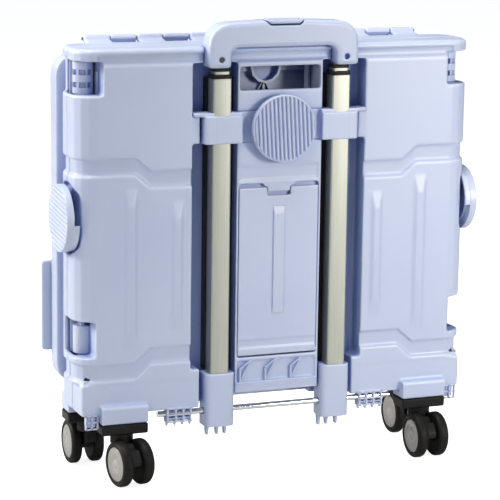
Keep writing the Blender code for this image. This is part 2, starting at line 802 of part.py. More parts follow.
def rear_shell():
    body, hollow = shell_core()
    face = -SHELL_DEPTH
    front = face - OVERRUN
    channel_back = face + CHANNEL_DEPTH
    notch_in, notch_out = GRIP_LEG_IN - GRIP_NOTCH_GAP, GRIP_HALF_WIDTH + GRIP_NOTCH_GAP
    notch_back = GRIP_BACK + GRIP_NOTCH_GAP
    for side in (-1, 1):
        low, high = sorted((side * (CHANNEL_IN - CHANNEL_WALL), side * (CHANNEL_OUT + CHANNEL_WALL)))
        keep = block(low, high, front, channel_back + CHANNEL_WALL, BODY_FLOOR, CHANNEL_TOP + CHANNEL_WALL)
        hollow = cut(hollow, keep)
        low, high = sorted((side * (notch_in - CHANNEL_WALL), side * (notch_out + CHANNEL_WALL)))
        hollow = cut(hollow, block(low, high, front, notch_back + CHANNEL_WALL, CHANNEL_TOP, BODY_TOP))
        for pocket in (UPPER_POCKET, LOWER_POCKET):
            low, high = sorted((side * (pocket["inner"] - POCKET_LINER), side * BODY_HALF_WIDTH))
            bottom, top = pocket["low"] - POCKET_LINER, pocket["high"] + POCKET_LINER
            hollow = cut(hollow, block(low, high, front, POCKET_LINER_BACK, bottom, top))
    middle = block(
        -CHANNEL_IN, CHANNEL_IN, front, OVERRUN * 2, BODY_FLOOR, COLUMN_FLOOR + SHELL_WALL
    )
    hollow = cut(hollow, middle)
    form = cut(body, hollow)

    cutters = belt_cutters() + knob_recesses() + hinge_bores()
    for side in (-1, 1):
        low, high = sorted((side * CHANNEL_IN, side * CHANNEL_OUT))
        cutters.append(block(low, high, front, channel_back, CHANNEL_STEP, CHANNEL_TOP))
        low, high = sorted((side * CHANNEL_IN, side * CHANNEL_FOOT_OUT))
        cutters.append(block(low, high, front, channel_back, BODY_FLOOR - OVERRUN, CHANNEL_STEP + BITE))
        low, high = sorted((side * notch_in, side * notch_out))
        cutters.append(block(low, high, front, notch_back, CHANNEL_TOP - BITE, BODY_TOP + OVERRUN))
        for pocket in (UPPER_POCKET, LOWER_POCKET):
            low, high = sorted((side * pocket["inner"], side * (BODY_HALF_WIDTH + OVERRUN)))
            cutters.append(block(low, high, front, OVERRUN, pocket["low"], pocket["high"]))
    opening = CHANNEL_IN - CHANNEL_WALL
    cutters.append(block(-opening, opening, front, face + SHELL_WALL + BITE, WINDOW_LOW, WINDOW_HIGH))
    cutters.append(
        block(-opening, opening, front, face + SHELL_WALL + BITE, HATCH_OPENING_LOW, HATCH_OPENING_HIGH)
    )
    cutters.append(block(-CHANNEL_IN, CHANNEL_IN, front, OVERRUN, BODY_FLOOR - OVERRUN, COLUMN_FLOOR))
    bridge_back = BRIDGE_FRONT + BRIDGE_THICKNESS + GAP
    cutters.append(
        block(-CHANNEL_IN - BITE, CHANNEL_IN + BITE, front, bridge_back, CLAMP_LOW - GAP, FLANGE_HIGH + GAP)
    )
    cutters.append(
        block(-opening, opening, front, face + HATCH_FRAME_DEPTH, HATCH_FRAME_LOW, HATCH_FRAME_HIGH)
    )
    cutters.append(block(-opening, opening, front, face + SKIRT_DEPTH, SKIRT_LOW, LEDGE_LOW))
    band = [
        (front, BAND_LOW - BAND_DEPTH - OVERRUN),
        (face + BAND_DEPTH, BAND_LOW),
        (face + BAND_DEPTH, BAND_HIGH),
        (front, BAND_HIGH),
    ]
    cutters.append(prism(band, "x", -BAND_HALF_WIDTH, BAND_HALF_WIDTH))
    form = cut(form, *cutters)

    additions = []
    additions += both_sides(lambda: raised_rib(OUTER_RIB, face, RIB_RISE))
    additions += both_sides(lambda: raised_rib(INNER_RIB, face, RIB_RISE))
    additions += both_sides(lambda: caster_box(REAR_CASTER_X, REAR_CASTER_Y))
    additions += both_sides(rod_block)
    additions += both_sides(
        lambda: block(
            LOWER_POCKET["inner"],
            BODY_HALF_WIDTH - CORNER_BLOCK_INSET,
            face + BITE,
            face + CORNER_BLOCK_DEPTH,
            CORNER_BLOCK_LOW,
            BODY_FLOOR + BITE,
        )
    )
    wing_out, wing_back = CHANNEL_OUT + BITE, channel_back + BITE
    additions += both_sides(
        lambda: block(WING_IN, wing_out, face + GAP, wing_back, CLAMP_LOW, CLAMP_HIGH - BITE)
    )
    for x in GUSSET_PLACES:
        half = GUSSET_WIDTH / 2
        foot = x - GUSSET_LEAN
        outline = [
            (foot - half, SKIRT_LOW - BITE),
            (foot + half, SKIRT_LOW - BITE),
            (x + half, LEDGE_LOW + BITE),
            (x - half, LEDGE_LOW + BITE),
        ]
        additions.append(prism(outline, "y", face + GAP, face + SKIRT_DEPTH + BITE))
    shoulder = [
        (-LATCH_SHOULDER_HALF_WIDTH, HATCH_OPENING_HIGH + BITE),
        (-LATCH_SHOULDER_HALF_WIDTH, LATCH_SHOULDER_LOW),
        (-LATCH_HALF_WIDTH, LATCH_SHOULDER_LOW),
        (-LATCH_HALF_WIDTH, LATCH_LOW),
        (LATCH_HALF_WIDTH, LATCH_LOW),
        (LATCH_HALF_WIDTH, LATCH_SHOULDER_LOW),
        (LATCH_SHOULDER_HALF_WIDTH, LATCH_SHOULDER_LOW),
        (LATCH_SHOULDER_HALF_WIDTH, HATCH_OPENING_HIGH + BITE),
    ]
    additions.append(prism(shoulder, "y", face + GAP, face + DOOR_THICKNESS))
    for side in (-1, 1):
        lug_low, lug_high = KNOB_RECESS_X - KNOB_LUG_DEPTH, KNOB_RECESS_X + KNOB_LUG_PROUD
        low, high = sorted((side * lug_low, side * lug_high))
        additions.append(cylinder(KNOB_LUG_RADIUS, "x", (0, 0, SIDE_KNOB_Z), low, high, KNOB_STEPS // 2))
    form = join(form, *additions)

    holes = []
    for side in (-1, 1):
        low, high = sorted((side * (KNOB_RECESS_X - KNOB_LUG_DEPTH * 2), side * (KNOB_RECESS_X + OVERRUN)))
        holes.append(cylinder(KNOB_PIN_RADIUS + RUNNING_GAP, "x", (0, 0, SIDE_KNOB_Z), low, high))
        low, high = sorted((side * CHANNEL_FOOT_OUT, side * (ROD_HALF_LENGTH + OVERRUN)))
        holes.append(cylinder(ROD_RADIUS + GAP, "x", (0, ROD_Y, ROD_Z), low, high, ROD_SIDES))
        low, high = sorted((side * (opening - BITE), side * (CHANNEL_IN + BITE)))
        holes.append(cylinder(DOOR_PIN_RADIUS + RUNNING_GAP, "x", (0, DOOR_PIN_Y, DOOR_PIN_Z), low, high))
    hole_top = BRIDGE_FRONT + BRIDGE_THICKNESS + GAP
    centre = (0, 0, (CLAMP_LOW + FLANGE_HIGH) / 2 - (FLANGE_HIGH - CLAMP_HIGH) / 2)
    holes.append(
        cylinder(KNOB_PIN_RADIUS + RUNNING_GAP, "y", centre, hole_top - BITE, hole_top + KNOB_PIN_REACH)
    )
    form = cut(form, *holes)
    return finish(form, "rear_shell", PLASTIC)


def lid_knuckle_spans():
    """Start and end of each knuckle along x, from the left."""
    length = 2 * LID_HINGE_HALF_LENGTH
    pitch = length / LID_KNUCKLES
    spans = []
    for i in range(LID_KNUCKLES):
        start = -LID_HINGE_HALF_LENGTH + i * pitch
        spans.append((start + GAP / 2, start + pitch - GAP / 2))
    return spans


def lid_knuckle(span):
    return cylinder(LID_KNUCKLE_RADIUS, "x", (0, LID_PIN_Y, LID_PIN_Z), *span)


def lid_pin_bore():
    reach = LID_HINGE_HALF_LENGTH + OVERRUN
    return cylinder(LID_PIN_RADIUS + GAP, "x", (0, LID_PIN_Y, LID_PIN_Z), -reach, reach)


def front_shell(front_caster_y):
    body, hollow = shell_core()
    form = cut(body, hollow)
    form = cut(form, *belt_cutters(), *knob_recesses(), *hinge_bores())
    lugs = []
    for side in (-1, 1):
        low, high = sorted((side * (KNOB_RECESS_X - KNOB_LUG_DEPTH * 2), side * (KNOB_RECESS_X + BITE)))
        radius = KNOB_LUG_RADIUS + RUNNING_GAP
        lugs.append(cylinder(radius, "x", (0, 0, SIDE_KNOB_Z), low, high, KNOB_STEPS // 2))
        low, high = sorted((side * NECK_HALF_WIDTH, side * (BODY_HALF_WIDTH + OVERRUN)))
        lugs.append(block(low, high, -SHELL_DEPTH - OVERRUN, OVERRUN, NECK_LOW, NECK_HIGH))
        low, high = sorted((side * NOTCH_HALF_WIDTH, side * (BODY_HALF_WIDTH + OVERRUN)))
        lugs.append(block(low, high, -NOTCH_DEPTH, OVERRUN, LOWER_POCKET["low"], LOWER_POCKET["high"]))
        low, high = sorted((side * (NECK_HALF_WIDTH - KNUCKLE_SLOT_REACH), side * (BODY_HALF_WIDTH)))
        for z in KNUCKLE_SLOTS:
            lugs.append(block(low, high, -KNUCKLE_SLOT_REACH, OVERRUN, z, z + KNUCKLE_SLOT_HEIGHT))
    form = cut(form, *lugs)
    form = mirrored(form, "y")
    boxes = both_sides(lambda: caster_box(FRONT_CASTER_X, -front_caster_y))
    form = join(form, *[mirrored(item, "y") for item in boxes])
    leaves = []
    for span in lid_knuckle_spans()[::2]:
        leaves.append(lid_knuckle(span))
        span = (span[0] + GAP, span[1] - GAP)
        low = BODY_TOP - LEAF_THICKNESS - TOP_EDGE_BEVEL
        arm = [
            (SHELL_DEPTH - SHELL_WALL, low),
            (LID_PIN_Y, LID_PIN_Z - LID_KNUCKLE_RADIUS),
            (LID_PIN_Y, LID_PIN_Z),
            (SHELL_DEPTH - SHELL_WALL, BODY_TOP - BITE),
        ]
        leaves.append(prism(arm, "x", *span))
    form = join(form, *leaves)
    form = cut(form, lid_pin_bore())
    return finish(form, "front_shell", PLASTIC_SHADE)


def mid_hinge_x():
    """Where the middle hinge of a folded side wall stands."""
    return HINGE_X - math.sqrt(WALL_HALF_LENGTH**2 - HINGE_SPREAD**2)


def mid_knuckle_spans():
    pitch = (WALL_HIGH - WALL_LOW) / MID_KNUCKLES
    return [(WALL_LOW + i * pitch + GAP, WALL_LOW + (i + 1) * pitch - GAP) for i in range(MID_KNUCKLES)]


def wall_half(owned):
    """The rear half of the right side wall, folded: a plate from its outer hinge to the middle hinge.

    owned is 0 or 1: the middle knuckles, counted from the bottom, that belong to this half.
    """
    middle = mid_hinge_x()
    span = HINGE_X - middle

    def line(x):
        return -HINGE_SPREAD * (x - middle) / span

    clear = BARREL_RADIUS + RUNNING_GAP * 2
    near = middle + clear
    skew = GAP / 2
    plate = [
        (near, line(near) - skew),
        (WALL_START, line(WALL_START) - skew),
        (WALL_START, line(WALL_START) - WALL_THICKNESS),
        (near, line(near) - WALL_THICKNESS),
    ]
    form = prism(plate, "z", WALL_LOW, WALL_HIGH)
    margin = WALL_PANEL_MARGIN
    form = cut(
        form,
        block(
            near + margin,
            WALL_START - margin,
            -WALL_THICKNESS - HINGE_SPREAD - OVERRUN,
            -WALL_THICKNESS - HINGE_SPREAD / 2 + WALL_PANEL_DEPTH,
            WALL_LOW + margin,
            WALL_HIGH - margin,
        ),
    )
    web = [
        (WALL_START - BITE, line(WALL_START) - skew),
        (HINGE_X, -HINGE_SPREAD),
        (HINGE_X, -HINGE_SPREAD - BARREL_RADIUS + skew),
        (WALL_START - BITE, line(WALL_START) - WALL_THICKNESS + skew),
    ]
    centre = (HINGE_X, -HINGE_SPREAD, 0)
    radius = TRUNNION_RADIUS
    barrel = turned(
        [
            (0.0, BARREL_LOW - TRUNNION_REACH),
            (radius, BARREL_LOW - TRUNNION_REACH),
            (radius, BARREL_LOW),
            (BARREL_RADIUS, BARREL_LOW),
            (BARREL_RADIUS, BARREL_HIGH),
            (radius, BARREL_HIGH),
            (radius, BARREL_HIGH + TRUNNION_REACH),
            (0.0, BARREL_HIGH + TRUNNION_REACH),
        ],
        BARREL_SIDES,
        "z",
        centre,
    )
    knuckles = []
    for low, high in mid_knuckle_spans()[owned::2]:
        knuckles.append(cylinder(BARREL_RADIUS, "z", (middle, 0, 0), low, high))
        arm = [
            (middle, -BITE / 2),
            (near + BITE, line(near) - skew),
            (near + BITE, line(near) - WALL_THICKNESS + skew),
            (middle, -BARREL_RADIUS + skew),
        ]
        knuckles.append(prism(arm, "z", low, high))
    form = join(form, prism(web, "z", WEB_LOW, WEB_HIGH), barrel, *knuckles)
    low, high = WALL_LOW - OVERRUN, WALL_HIGH + OVERRUN
    bore = cylinder(MID_PIN_RADIUS + GAP, "z", (middle, 0, 0), low, high)
    return cut(form, bore)


def side_walls():
    """The four wall halves and the two middle pins."""
    right_rear = wall_half(0)
    right_front = mirrored(wall_half(1), "y")
    left_rear = mirrored(wall_half(0), "x")
    left_front = mirrored(mirrored(wall_half(1), "y"), "x")
    pieces = {
        "right_rear_wall": finish(right_rear, "right_rear_wall", PLASTIC_SHADE),
        "right_front_wall": finish(right_front, "right_front_wall", PLASTIC_SHADE),
        "left_rear_wall": finish(left_rear, "left_rear_wall", PLASTIC_SHADE),
        "left_front_wall": finish(left_front, "left_front_wall", PLASTIC_SHADE),
    }
    for name, side in (("left_wall_pin", -1), ("right_wall_pin", 1)):
        pin = cylinder(MID_PIN_RADIUS, "z", (side * mid_hinge_x(), 0, 0), WALL_LOW, WALL_HIGH)
        pieces[name] = finish(pin, name, STEEL)
    return pieces


def base_panel():
    """The floor, stored upright in the front shell, its ribbed underside towards the tubes."""
    back = SHELL_DEPTH - SHELL_WALL - GAP
    front = back - BASE_THICKNESS
    low = BODY_FLOOR + SHELL_WALL + GAP
    form = block(-BASE_HALF_WIDTH, BASE_HALF_WIDTH, front, back, low, BASE_TOP)
    frame = BASE_FRAME
    tray = block(
        -BASE_HALF_WIDTH + frame,
        BASE_HALF_WIDTH - frame,
        front - OVERRUN,
        front + BASE_PANEL_DEPTH,
        low + frame,
        BASE_TOP - frame,
    )
    form = cut(form, tray)
    floor = front + BASE_PANEL_DEPTH
    bars = []
    half = BASE_RIB_WIDTH / 2
    reach = BASE_HALF_WIDTH - frame + BITE
    ring_low = RING_CENTRE_Z - RING_RADIUS
    for side in (-1, 1):
        diagonal = [
            (side * half, ring_low),
            (side * (reach - half), low + frame),
            (side * reach, low + frame),
            (side * reach, low + frame + half),
            (side * half, ring_low + BASE_RIB_WIDTH),
        ]
        bars.append(prism(diagonal, "y", front + GAP, floor + BITE))
    bars.append(block(-half, half, front + GAP, floor + BITE, low + frame - BITE, ring_low + BITE))
    form = join(form, *bars)
    centre, crest = (0, 0, RING_CENTRE_Z), front - RING_RISE
    ring = cylinder(RING_RADIUS, "y", centre, crest, floor + BITE, KNOB_STEPS // 2)
    bore = cylinder(RING_RADIUS - RING_WALL, "y", centre, crest - OVERRUN, floor, KNOB_STEPS // 2)
    form = cut(join(form, ring), bore)
    return finish(form, "base_panel", PLASTIC_SHADE)


def lid():
    """A shallow tray hanging rim outwards, with its own knuckles on the pin and ribs inside."""
    near, far = LID_NEAR_Y, LID_NEAR_Y + LID_RIM_DEPTH
    width, radius = LID_HALF_WIDTH, LID_CORNER_RADIUS
    outline = rectangle(-width, width, LID_LOW, LID_HIGH, radius)
    form = prism(outline, "y", near, far)
    rim = LID_RIM
    inner = rectangle(-width + rim, width - rim, LID_LOW + rim, LID_HIGH - rim, radius - rim)
    form = cut(form, prism(inner, "y", near + LID_PLATE, far + OVERRUN))
    ribs = []
    half = LID_RIB_WIDTH / 2
    foot, crest = near + LID_PLATE - BITE, near + LID_RIB_RISE
    for x in LID_RIBS:
        ribs.append(block(x - half, x + half, foot, crest, LID_LOW + BITE, LID_HIGH - BITE))
    middle = (LID_LOW + LID_HIGH) / 2
    ribs.append(block(-width + BITE, width - BITE, foot, crest, middle - half, middle + half))
    form = join(form, *ribs)
    leaves = []
    for span in lid_knuckle_spans()[1::2]:
        leaves.append(lid_knuckle(span))
        span = (span[0] + GAP, span[1] - GAP)
        half_leaf = LEAF_THICKNESS / 2
        leaves.append(
            block(*span, LID_PIN_Y - half_leaf, LID_PIN_Y + half_leaf, LID_HIGH - BITE, LID_PIN_Z)
        )
    form = join(form, *leaves)
    form = cut(form, lid_pin_bore())
    return finish(form, "lid", PLASTIC_SHADE)


def lid_side_plate():
    """The flat plate on the lid's rim that stands out past its left edge."""
    low_y = LID_NEAR_Y + LID_RIM_DEPTH + GAP
    left, right = -SIDE_PLATE["outer"], -SIDE_PLATE["inner"]
    outline = rectangle(left, right, SIDE_PLATE["low"], SIDE_PLATE["high"], SIDE_PLATE_RADIUS, 3)
    form = prism(outline, "y", low_y, low_y + SIDE_PLATE_THICKNESS)
    return finish(form, "lid_side_plate", PLASTIC)


def knob(hub_depth):
    """A ribbed twist knob with its face at z = 0 and its hub reaching hub_depth below, skirt towards -y."""
    radius, thickness = KNOB_RADIUS, KNOB_THICKNESS
    form = turned([(0.0, -thickness), (radius, -thickness), (radius, 0.0), (0.0, 0.0)], KNOB_STEPS)
    pitch = 2 * radius / KNOB_RIBS
    grooves = []
    for i in range(1, KNOB_RIBS):
        centre = -radius + i * pitch
        half = pitch * KNOB_GROOVE_SHARE / 2
        reach = radius + OVERRUN
        grooves.append(block(-reach, reach, centre - half, centre + half, -KNOB_GROOVE_DEPTH, OVERRUN))
    form = cut(form, *grooves)
    outer = radius - KNOB_SKIRT_STEP
    inner = outer - KNOB_SKIRT_WALL
    skirt = turned(
        [
            (inner, -KNOB_SKIRT_DEPTH),
            (outer, -KNOB_SKIRT_DEPTH),
            (outer, -thickness + BITE),
            (inner, -thickness + BITE),
        ],
        KNOB_STEPS,
        closed=True,
    )
    reach = radius + OVERRUN
    skirt = cut(skirt, block(-reach, reach, 0.0, reach, -KNOB_SKIRT_DEPTH - OVERRUN, OVERRUN))
    hub = turned(
        [
            (0.0, -hub_depth - KNOB_PIN_REACH),
            (KNOB_PIN_RADIUS, -hub_depth - KNOB_PIN_REACH),
            (KNOB_PIN_RADIUS, -hub_depth),
            (KNOB_HUB_RADIUS, -hub_depth),
            (KNOB_HUB_RADIUS, -thickness + BITE),
            (0.0, -thickness + BITE),
        ],
        KNOB_STEPS // 2,
    )
    return join(form, skirt, hub)


def knobs(bracket_knob_z, bracket_knob_y):
    """The side knobs and the bracket's knob, each turned as photographed."""
    side_depth = SIDE_KNOB_FACE_X - KNOB_RECESS_X - KNOB_LUG_PROUD - GAP
    left = knob(side_depth)
    turn = Matrix.Rotation(SIDE_KNOB_TILT, 4, "X") @ Matrix(
        ((0, 0, -1, 0), (-1, 0, 0, 0), (0, 1, 0, 0), (0, 0, 0, 1))
    )
    left.data.transform(Matrix.Translation((-SIDE_KNOB_FACE_X, 0, SIDE_KNOB_Z)) @ turn)
    right = knob(side_depth)
    turn = Matrix.Rotation(SIDE_KNOB_TILT, 4, "X") @ Matrix(
        ((0, 0, 1, 0), (-1, 0, 0, 0), (0, -1, 0, 0), (0, 0, 0, 1))
    )
    right.data.transform(Matrix.Translation((SIDE_KNOB_FACE_X, 0, SIDE_KNOB_Z)) @ turn)
    centre_depth = BRIDGE_FRONT - bracket_knob_y - GAP
    centre = knob(centre_depth)
    turn = Matrix.Rotation(BRACKET_KNOB_TILT, 4, "Y") @ Matrix(
        ((0, -1, 0, 0), (0, 0, -1, 0), (1, 0, 0, 0), (0, 0, 0, 1))
    )
    centre.data.transform(Matrix.Translation((0, bracket_knob_y, bracket_knob_z)) @ turn)
    return (
        finish(left, "side_knob_left", PLASTIC),
        finish(right, "side_knob_right", PLASTIC),
        finish(centre, "bracket_knob", PLASTIC),
    )


def tube_outline(inset, side):
    """A tube's rounded section, inset all round, at the left (-1) or the right (1)."""
    half_width = TUBE_WIDTH / 2 - inset
    half_depth = TUBE_DEPTH / 2 - inset
    x = side * TUBE_X
    radius = max(TUBE_RADIUS - inset, TUBE_WALL)
    return rectangle(x - half_width, x + half_width, TUBE_Y - half_depth, TUBE_Y + half_depth, radius, 3)


def hollow_tube(side, inset, low, high, bore):
    form = prism(tube_outline(inset, side), "z", low, high)
    return cut(form, prism(tube_outline(bore, side), "z", low - OVERRUN, high + OVERRUN))


def telescope(side, word):
    """One side's three tubes, two collars and the guide strip behind them."""
    stage = TUBE_WALL + TUBE_FIT
    collar_top = TUBE_TOP + GAP + COLLAR_HEIGHT
    middle_top = collar_top + BRIGHT_BAND
    outer = hollow_tube(side, 0.0, TUBE_FOOT, TUBE_TOP, TUBE_WALL)
    middle = hollow_tube(side, stage, MIDDLE_FOOT, middle_top, stage + TUBE_WALL)
    inner = hollow_tube(side, 2 * stage, INNER_FOOT, INNER_TOP, 2 * stage + TUBE_WALL)
    collar = hollow_tube(side, -COLLAR_PROUD, TUBE_TOP + GAP, collar_top, stage - GAP)
    top = middle_top + GAP + MIDDLE_COLLAR_HEIGHT
    ring = hollow_tube(side, stage - COLLAR_PROUD, middle_top + GAP, top, 2 * stage - GAP)
    low, high = sorted((side * GUIDE_IN, side * GUIDE_OUT))
    front = TUBE_Y + TUBE_DEPTH / 2 + GAP
    guide = block(low, high, front, front + GUIDE_THICKNESS, GUIDE_LOW, TUBE_TOP)
    pips = []
    pip = GUIDE_PIP
    inside, tip = low + BITE, low - pip / 2
    for z in GUIDE_PIPS:
        outline = [(inside, z - pip), (tip, z - pip / 2), (tip, z + pip / 2), (inside, z + pip)]
        pips.append(prism(outline, "y", front + pip, front + GUIDE_THICKNESS - pip))
    guide = join(guide, *pips)
    return {
        "outer_tube": finish(outer, "outer_tube_" + word, SILVER),
        "middle_tube": finish(middle, "middle_tube_" + word, SILVER),
        "inner_tube": finish(inner, "inner_tube_" + word, SILVER),
        "outer_collar": finish(collar, "outer_collar_" + word, BLACK),
        "middle_collar": finish(ring, "middle_collar_" + word, BLACK),
        "tube_guide": finish(guide, "tube_guide_" + word, BLACK),
    }


def socket(side, word):
    """The moulded foot of a tube, turning on the rod, with its comb of three prongs below."""
    radius = SOCKET_RADIUS
    plan = rounded(
        [
            (SOCKET_IN, SOCKET_FRONT, radius),
            (SOCKET_OUT, SOCKET_FRONT, radius),
            (SOCKET_OUT, SOCKET_BACK, BLEND),
            (SOCKET_IN, SOCKET_BACK, BLEND),
        ],
        4,
    )
    form = prism(plan, "z", SOCKET_LOW, SOCKET_HIGH)
    prongs = []
    half = COMB_HALF_WIDTH
    near, far = COMB_Y - COMB_HALF_DEPTH, COMB_Y + COMB_HALF_DEPTH
    for x in COMB_PLACES:
        base = [(x - half, near), (x + half, near), (x + half, far), (x - half, far)]
        tip = [(x + (a - x) * COMB_TIP_SHARE, b) for a, b in base]
        prongs.append(loft([(COMB_LOW, tip), (SOCKET_LOW + BITE, base)]))
    form = join(form, *prongs)
    hole = prism(tube_outline(-GAP, 1), "z", TUBE_FOOT - GAP, SOCKET_HIGH + OVERRUN)
    low, high = SOCKET_IN - OVERRUN, SOCKET_OUT + OVERRUN
    rod = cylinder(ROD_RADIUS + RUNNING_GAP, "x", (0, ROD_Y, ROD_Z), low, high, ROD_SIDES)
    form = cut(form, hole, rod)
    if side < 0:
        form = mirrored(form, "x")
    return finish(form, "socket_" + word, PLASTIC)


def tube_bracket():
    """The bridge that clamps both tubes, with a pointed flange on top of each clamp."""
    bridge_back = BRIDGE_FRONT + BRIDGE_THICKNESS
    inner = CHANNEL_IN + GAP * 2

    def clamp():
        plan = rounded(
            [
                (CLAMP_IN, CLAMP_FRONT, BLEND),
                (CLAMP_OUT, CLAMP_FRONT, CLAMP_RADIUS),
                (CLAMP_OUT, CLAMP_BACK, 0),
                (inner, CLAMP_BACK, 0),
                (inner, bridge_back, 0),
                (CLAMP_IN, bridge_back, 0),
            ],
            4,
        )
        form = prism(plan, "z", CLAMP_LOW, CLAMP_HIGH)
        half = CLAMP_SEAM / 2
        seam = block(
            CLAMP_SEAM_X - half,
            CLAMP_SEAM_X + half,
            CLAMP_FRONT - OVERRUN,
            CLAMP_FRONT + CLAMP_SEAM,
            CLAMP_LOW - OVERRUN,
            CLAMP_HIGH + OVERRUN,
        )
        return cut(form, seam)

    def flange():
        plan = [
            (CLAMP_IN, FLANGE_FRONT),
            (CLAMP_OUT, FLANGE_FRONT),
            (FLANGE_TIP, FLANGE_FRONT + BLEND * 2),
            (FLANGE_TIP, CLAMP_BACK),
            (inner, CLAMP_BACK),
            (inner, bridge_back),
            (CLAMP_IN, bridge_back),
        ]
        return prism(plan, "z", CLAMP_HIGH - BITE / 2, FLANGE_HIGH)

    form = block(-CLAMP_IN - BITE, CLAMP_IN + BITE, BRIDGE_FRONT, bridge_back, CLAMP_LOW, FLANGE_HIGH)
    form = join(form, *both_sides(clamp), *both_sides(flange))
    slots = []
    for side in (-1, 1):
        slots.append(prism(tube_outline(-GAP, side), "z", CLAMP_LOW - OVERRUN, FLANGE_HIGH + OVERRUN))
        low, high = sorted((side * (TUBE_X - TUBE_WIDTH / 2 - GAP), side * (TUBE_X + TUBE_WIDTH / 2 + GAP)))
        slots.append(
            block(low, high, TUBE_Y, CLAMP_BACK + OVERRUN, CLAMP_LOW - OVERRUN, FLANGE_HIGH + OVERRUN)
        )
    centre_z = (CLAMP_LOW + CLAMP_HIGH) / 2
    low, high = BRIDGE_FRONT - OVERRUN, bridge_back + OVERRUN
    slots.append(cylinder(KNOB_PIN_RADIUS + RUNNING_GAP, "y", (0, 0, centre_z), low, high))
    form = cut(form, *slots)
    return finish(form, "tube_bracket", PLASTIC)


def grip_outline():
    """Front view of the grip: a crowned bar with rounded shoulders and two legs."""
    width = GRIP_HALF_WIDTH
    corners = [
        (-width, GRIP_LOW, 0),
        (-width, GRIP_SHOULDER, GRIP_OUTER_RADIUS),
        (0.0, GRIP_CROWN, GRIP_CROWN_RADIUS),
        (width, GRIP_SHOULDER, GRIP_OUTER_RADIUS),
        (width, GRIP_LOW, 0),
        (GRIP_LEG_IN, GRIP_LOW, 0),
        (GRIP_LEG_IN, GRIP_BAR_LOW, GRIP_INNER_RADIUS),
        (-GRIP_LEG_IN, GRIP_BAR_LOW, GRIP_INNER_RADIUS),
        (-GRIP_LEG_IN, GRIP_LOW, 0),
    ]
    return rounded(corners)


def button_outline():
    """Front view of the button, a little narrower than its measured half widths."""
    low, top = BUTTON_HALF_LOW - GAP, BUTTON_HALF_TOP - GAP
    crest = GRIP_CROWN - BUTTON_SUNK
    return [(-low, BUTTON_LOW), (low, BUTTON_LOW), (top, crest), (-top, crest)]


def button_pocket():
    """Front view of what the button sweeps when it is pressed, with a running gap all round."""
    low, top = BUTTON_HALF_LOW - GAP + RUNNING_GAP, BUTTON_HALF_TOP - GAP + RUNNING_GAP
    floor = BUTTON_LOW - BUTTON_TRAVEL - RUNNING_GAP
    shoulder = GRIP_CROWN - BUTTON_SUNK - BUTTON_TRAVEL - BUTTON_SUNK
    high = GRIP_CROWN + OVERRUN
    return [(-low, floor), (low, floor), (top, shoulder), (top, high), (-top, high), (-top, shoulder)]


def grip_pieces():
    form = bevel(prism(grip_outline(), "y", GRIP_FRONT, GRIP_BACK), GRIP_EDGE)
    stage = TUBE_WALL + TUBE_FIT
    cutters = []
    for side in (-1, 1):
        outline = tube_outline(2 * stage - GAP, side)
        cutters.append(prism(outline, "z", GRIP_LOW - OVERRUN, INNER_TOP + GAP))
        centre = (side * SCREW_X, 0, SCREW_Z)
        low, high = GRIP_FRONT - OVERRUN, GRIP_FRONT + SCREW_DEPTH + GAP
        cutters.append(cylinder(SCREW_HOLE_RADIUS, "y", centre, low, high, ROD_SIDES))
    clear = GAP * 2
    cutters.append(
        block(
            -GRIP_LEG_IN,
            GRIP_LEG_IN,
            -SHELL_DEPTH - clear,
            GRIP_BACK + OVERRUN,
            GRIP_LOW - OVERRUN,
            BODY_TOP + clear,
        )
    )
    cutters.append(prism(button_pocket(), "y", GRIP_FRONT - OVERRUN, BUTTON_BACK + RUNNING_GAP))
    form = cut(form, *cutters)
    button = bevel(prism(button_outline(), "y", GRIP_FRONT + GAP, BUTTON_BACK), BLEND)
    screw = cylinder(
        SCREW_RADIUS, "y", (-SCREW_X, 0, SCREW_Z), GRIP_FRONT + BLEND, GRIP_FRONT + SCREW_DEPTH, ROD_SIDES
    )
    slot, reach = SCREW_SLOT / 2, SCREW_SLOT_REACH
    cross = []
    for half_x, half_z in ((slot, reach), (reach, slot)):
        cross.append(
            block(
                -SCREW_X - half_x,
                -SCREW_X + half_x,
                GRIP_FRONT - OVERRUN,
                GRIP_FRONT + BLEND + SCREW_SLOT,
                SCREW_Z - half_z,
                SCREW_Z + half_z,
            )
        )
    screw = cut(screw, *cross)
    return (
        finish(form, "grip", PLASTIC),
        finish(button, "release_button", PLASTIC),
        finish(screw, "grip_screw", STEEL),
    )


def hatch_pieces():
    """The door, hinged along its foot. Its pin stays in the rear shell."""
    face = -SHELL_DEPTH
    back = face + DOOR_THICKNESS
    form = block(-DOOR_HALF_WIDTH, DOOR_HALF_WIDTH, face, back, DOOR_LOW, DOOR_HIGH)
    half = LATCH_HALF_WIDTH + RUNNING_GAP
    notch = block(-half, half, face - OVERRUN, back + OVERRUN, DOOR_NOTCH_LOW, DOOR_HIGH + OVERRUN)
    band = block(
        -DOOR_HALF_WIDTH - OVERRUN,
        DOOR_HALF_WIDTH + OVERRUN,
        face - OVERRUN,
        face + DOOR_BAND_DEPTH,
        DOOR_BAND_LOW,
        DOOR_BAND_HIGH,
    )
    form = cut(form, notch, band)
    form = join(form, raised_rib(DOOR_RIB, face, DOOR_RIB_RISE))
    bore = cylinder(
        DOOR_PIN_RADIUS + GAP,
        "x",
        (0, DOOR_PIN_Y, DOOR_PIN_Z),
        -DOOR_HALF_WIDTH - OVERRUN,
        DOOR_HALF_WIDTH + OVERRUN,
    )
    form = cut(form, bore)
    reach = CHANNEL_IN - GAP
    pin = cylinder(DOOR_PIN_RADIUS, "x", (0, DOOR_PIN_Y, DOOR_PIN_Z), -reach, reach)
    finish(pin, "hatch_pin", STEEL)
    return finish(form, "hatch_door", PLASTIC)


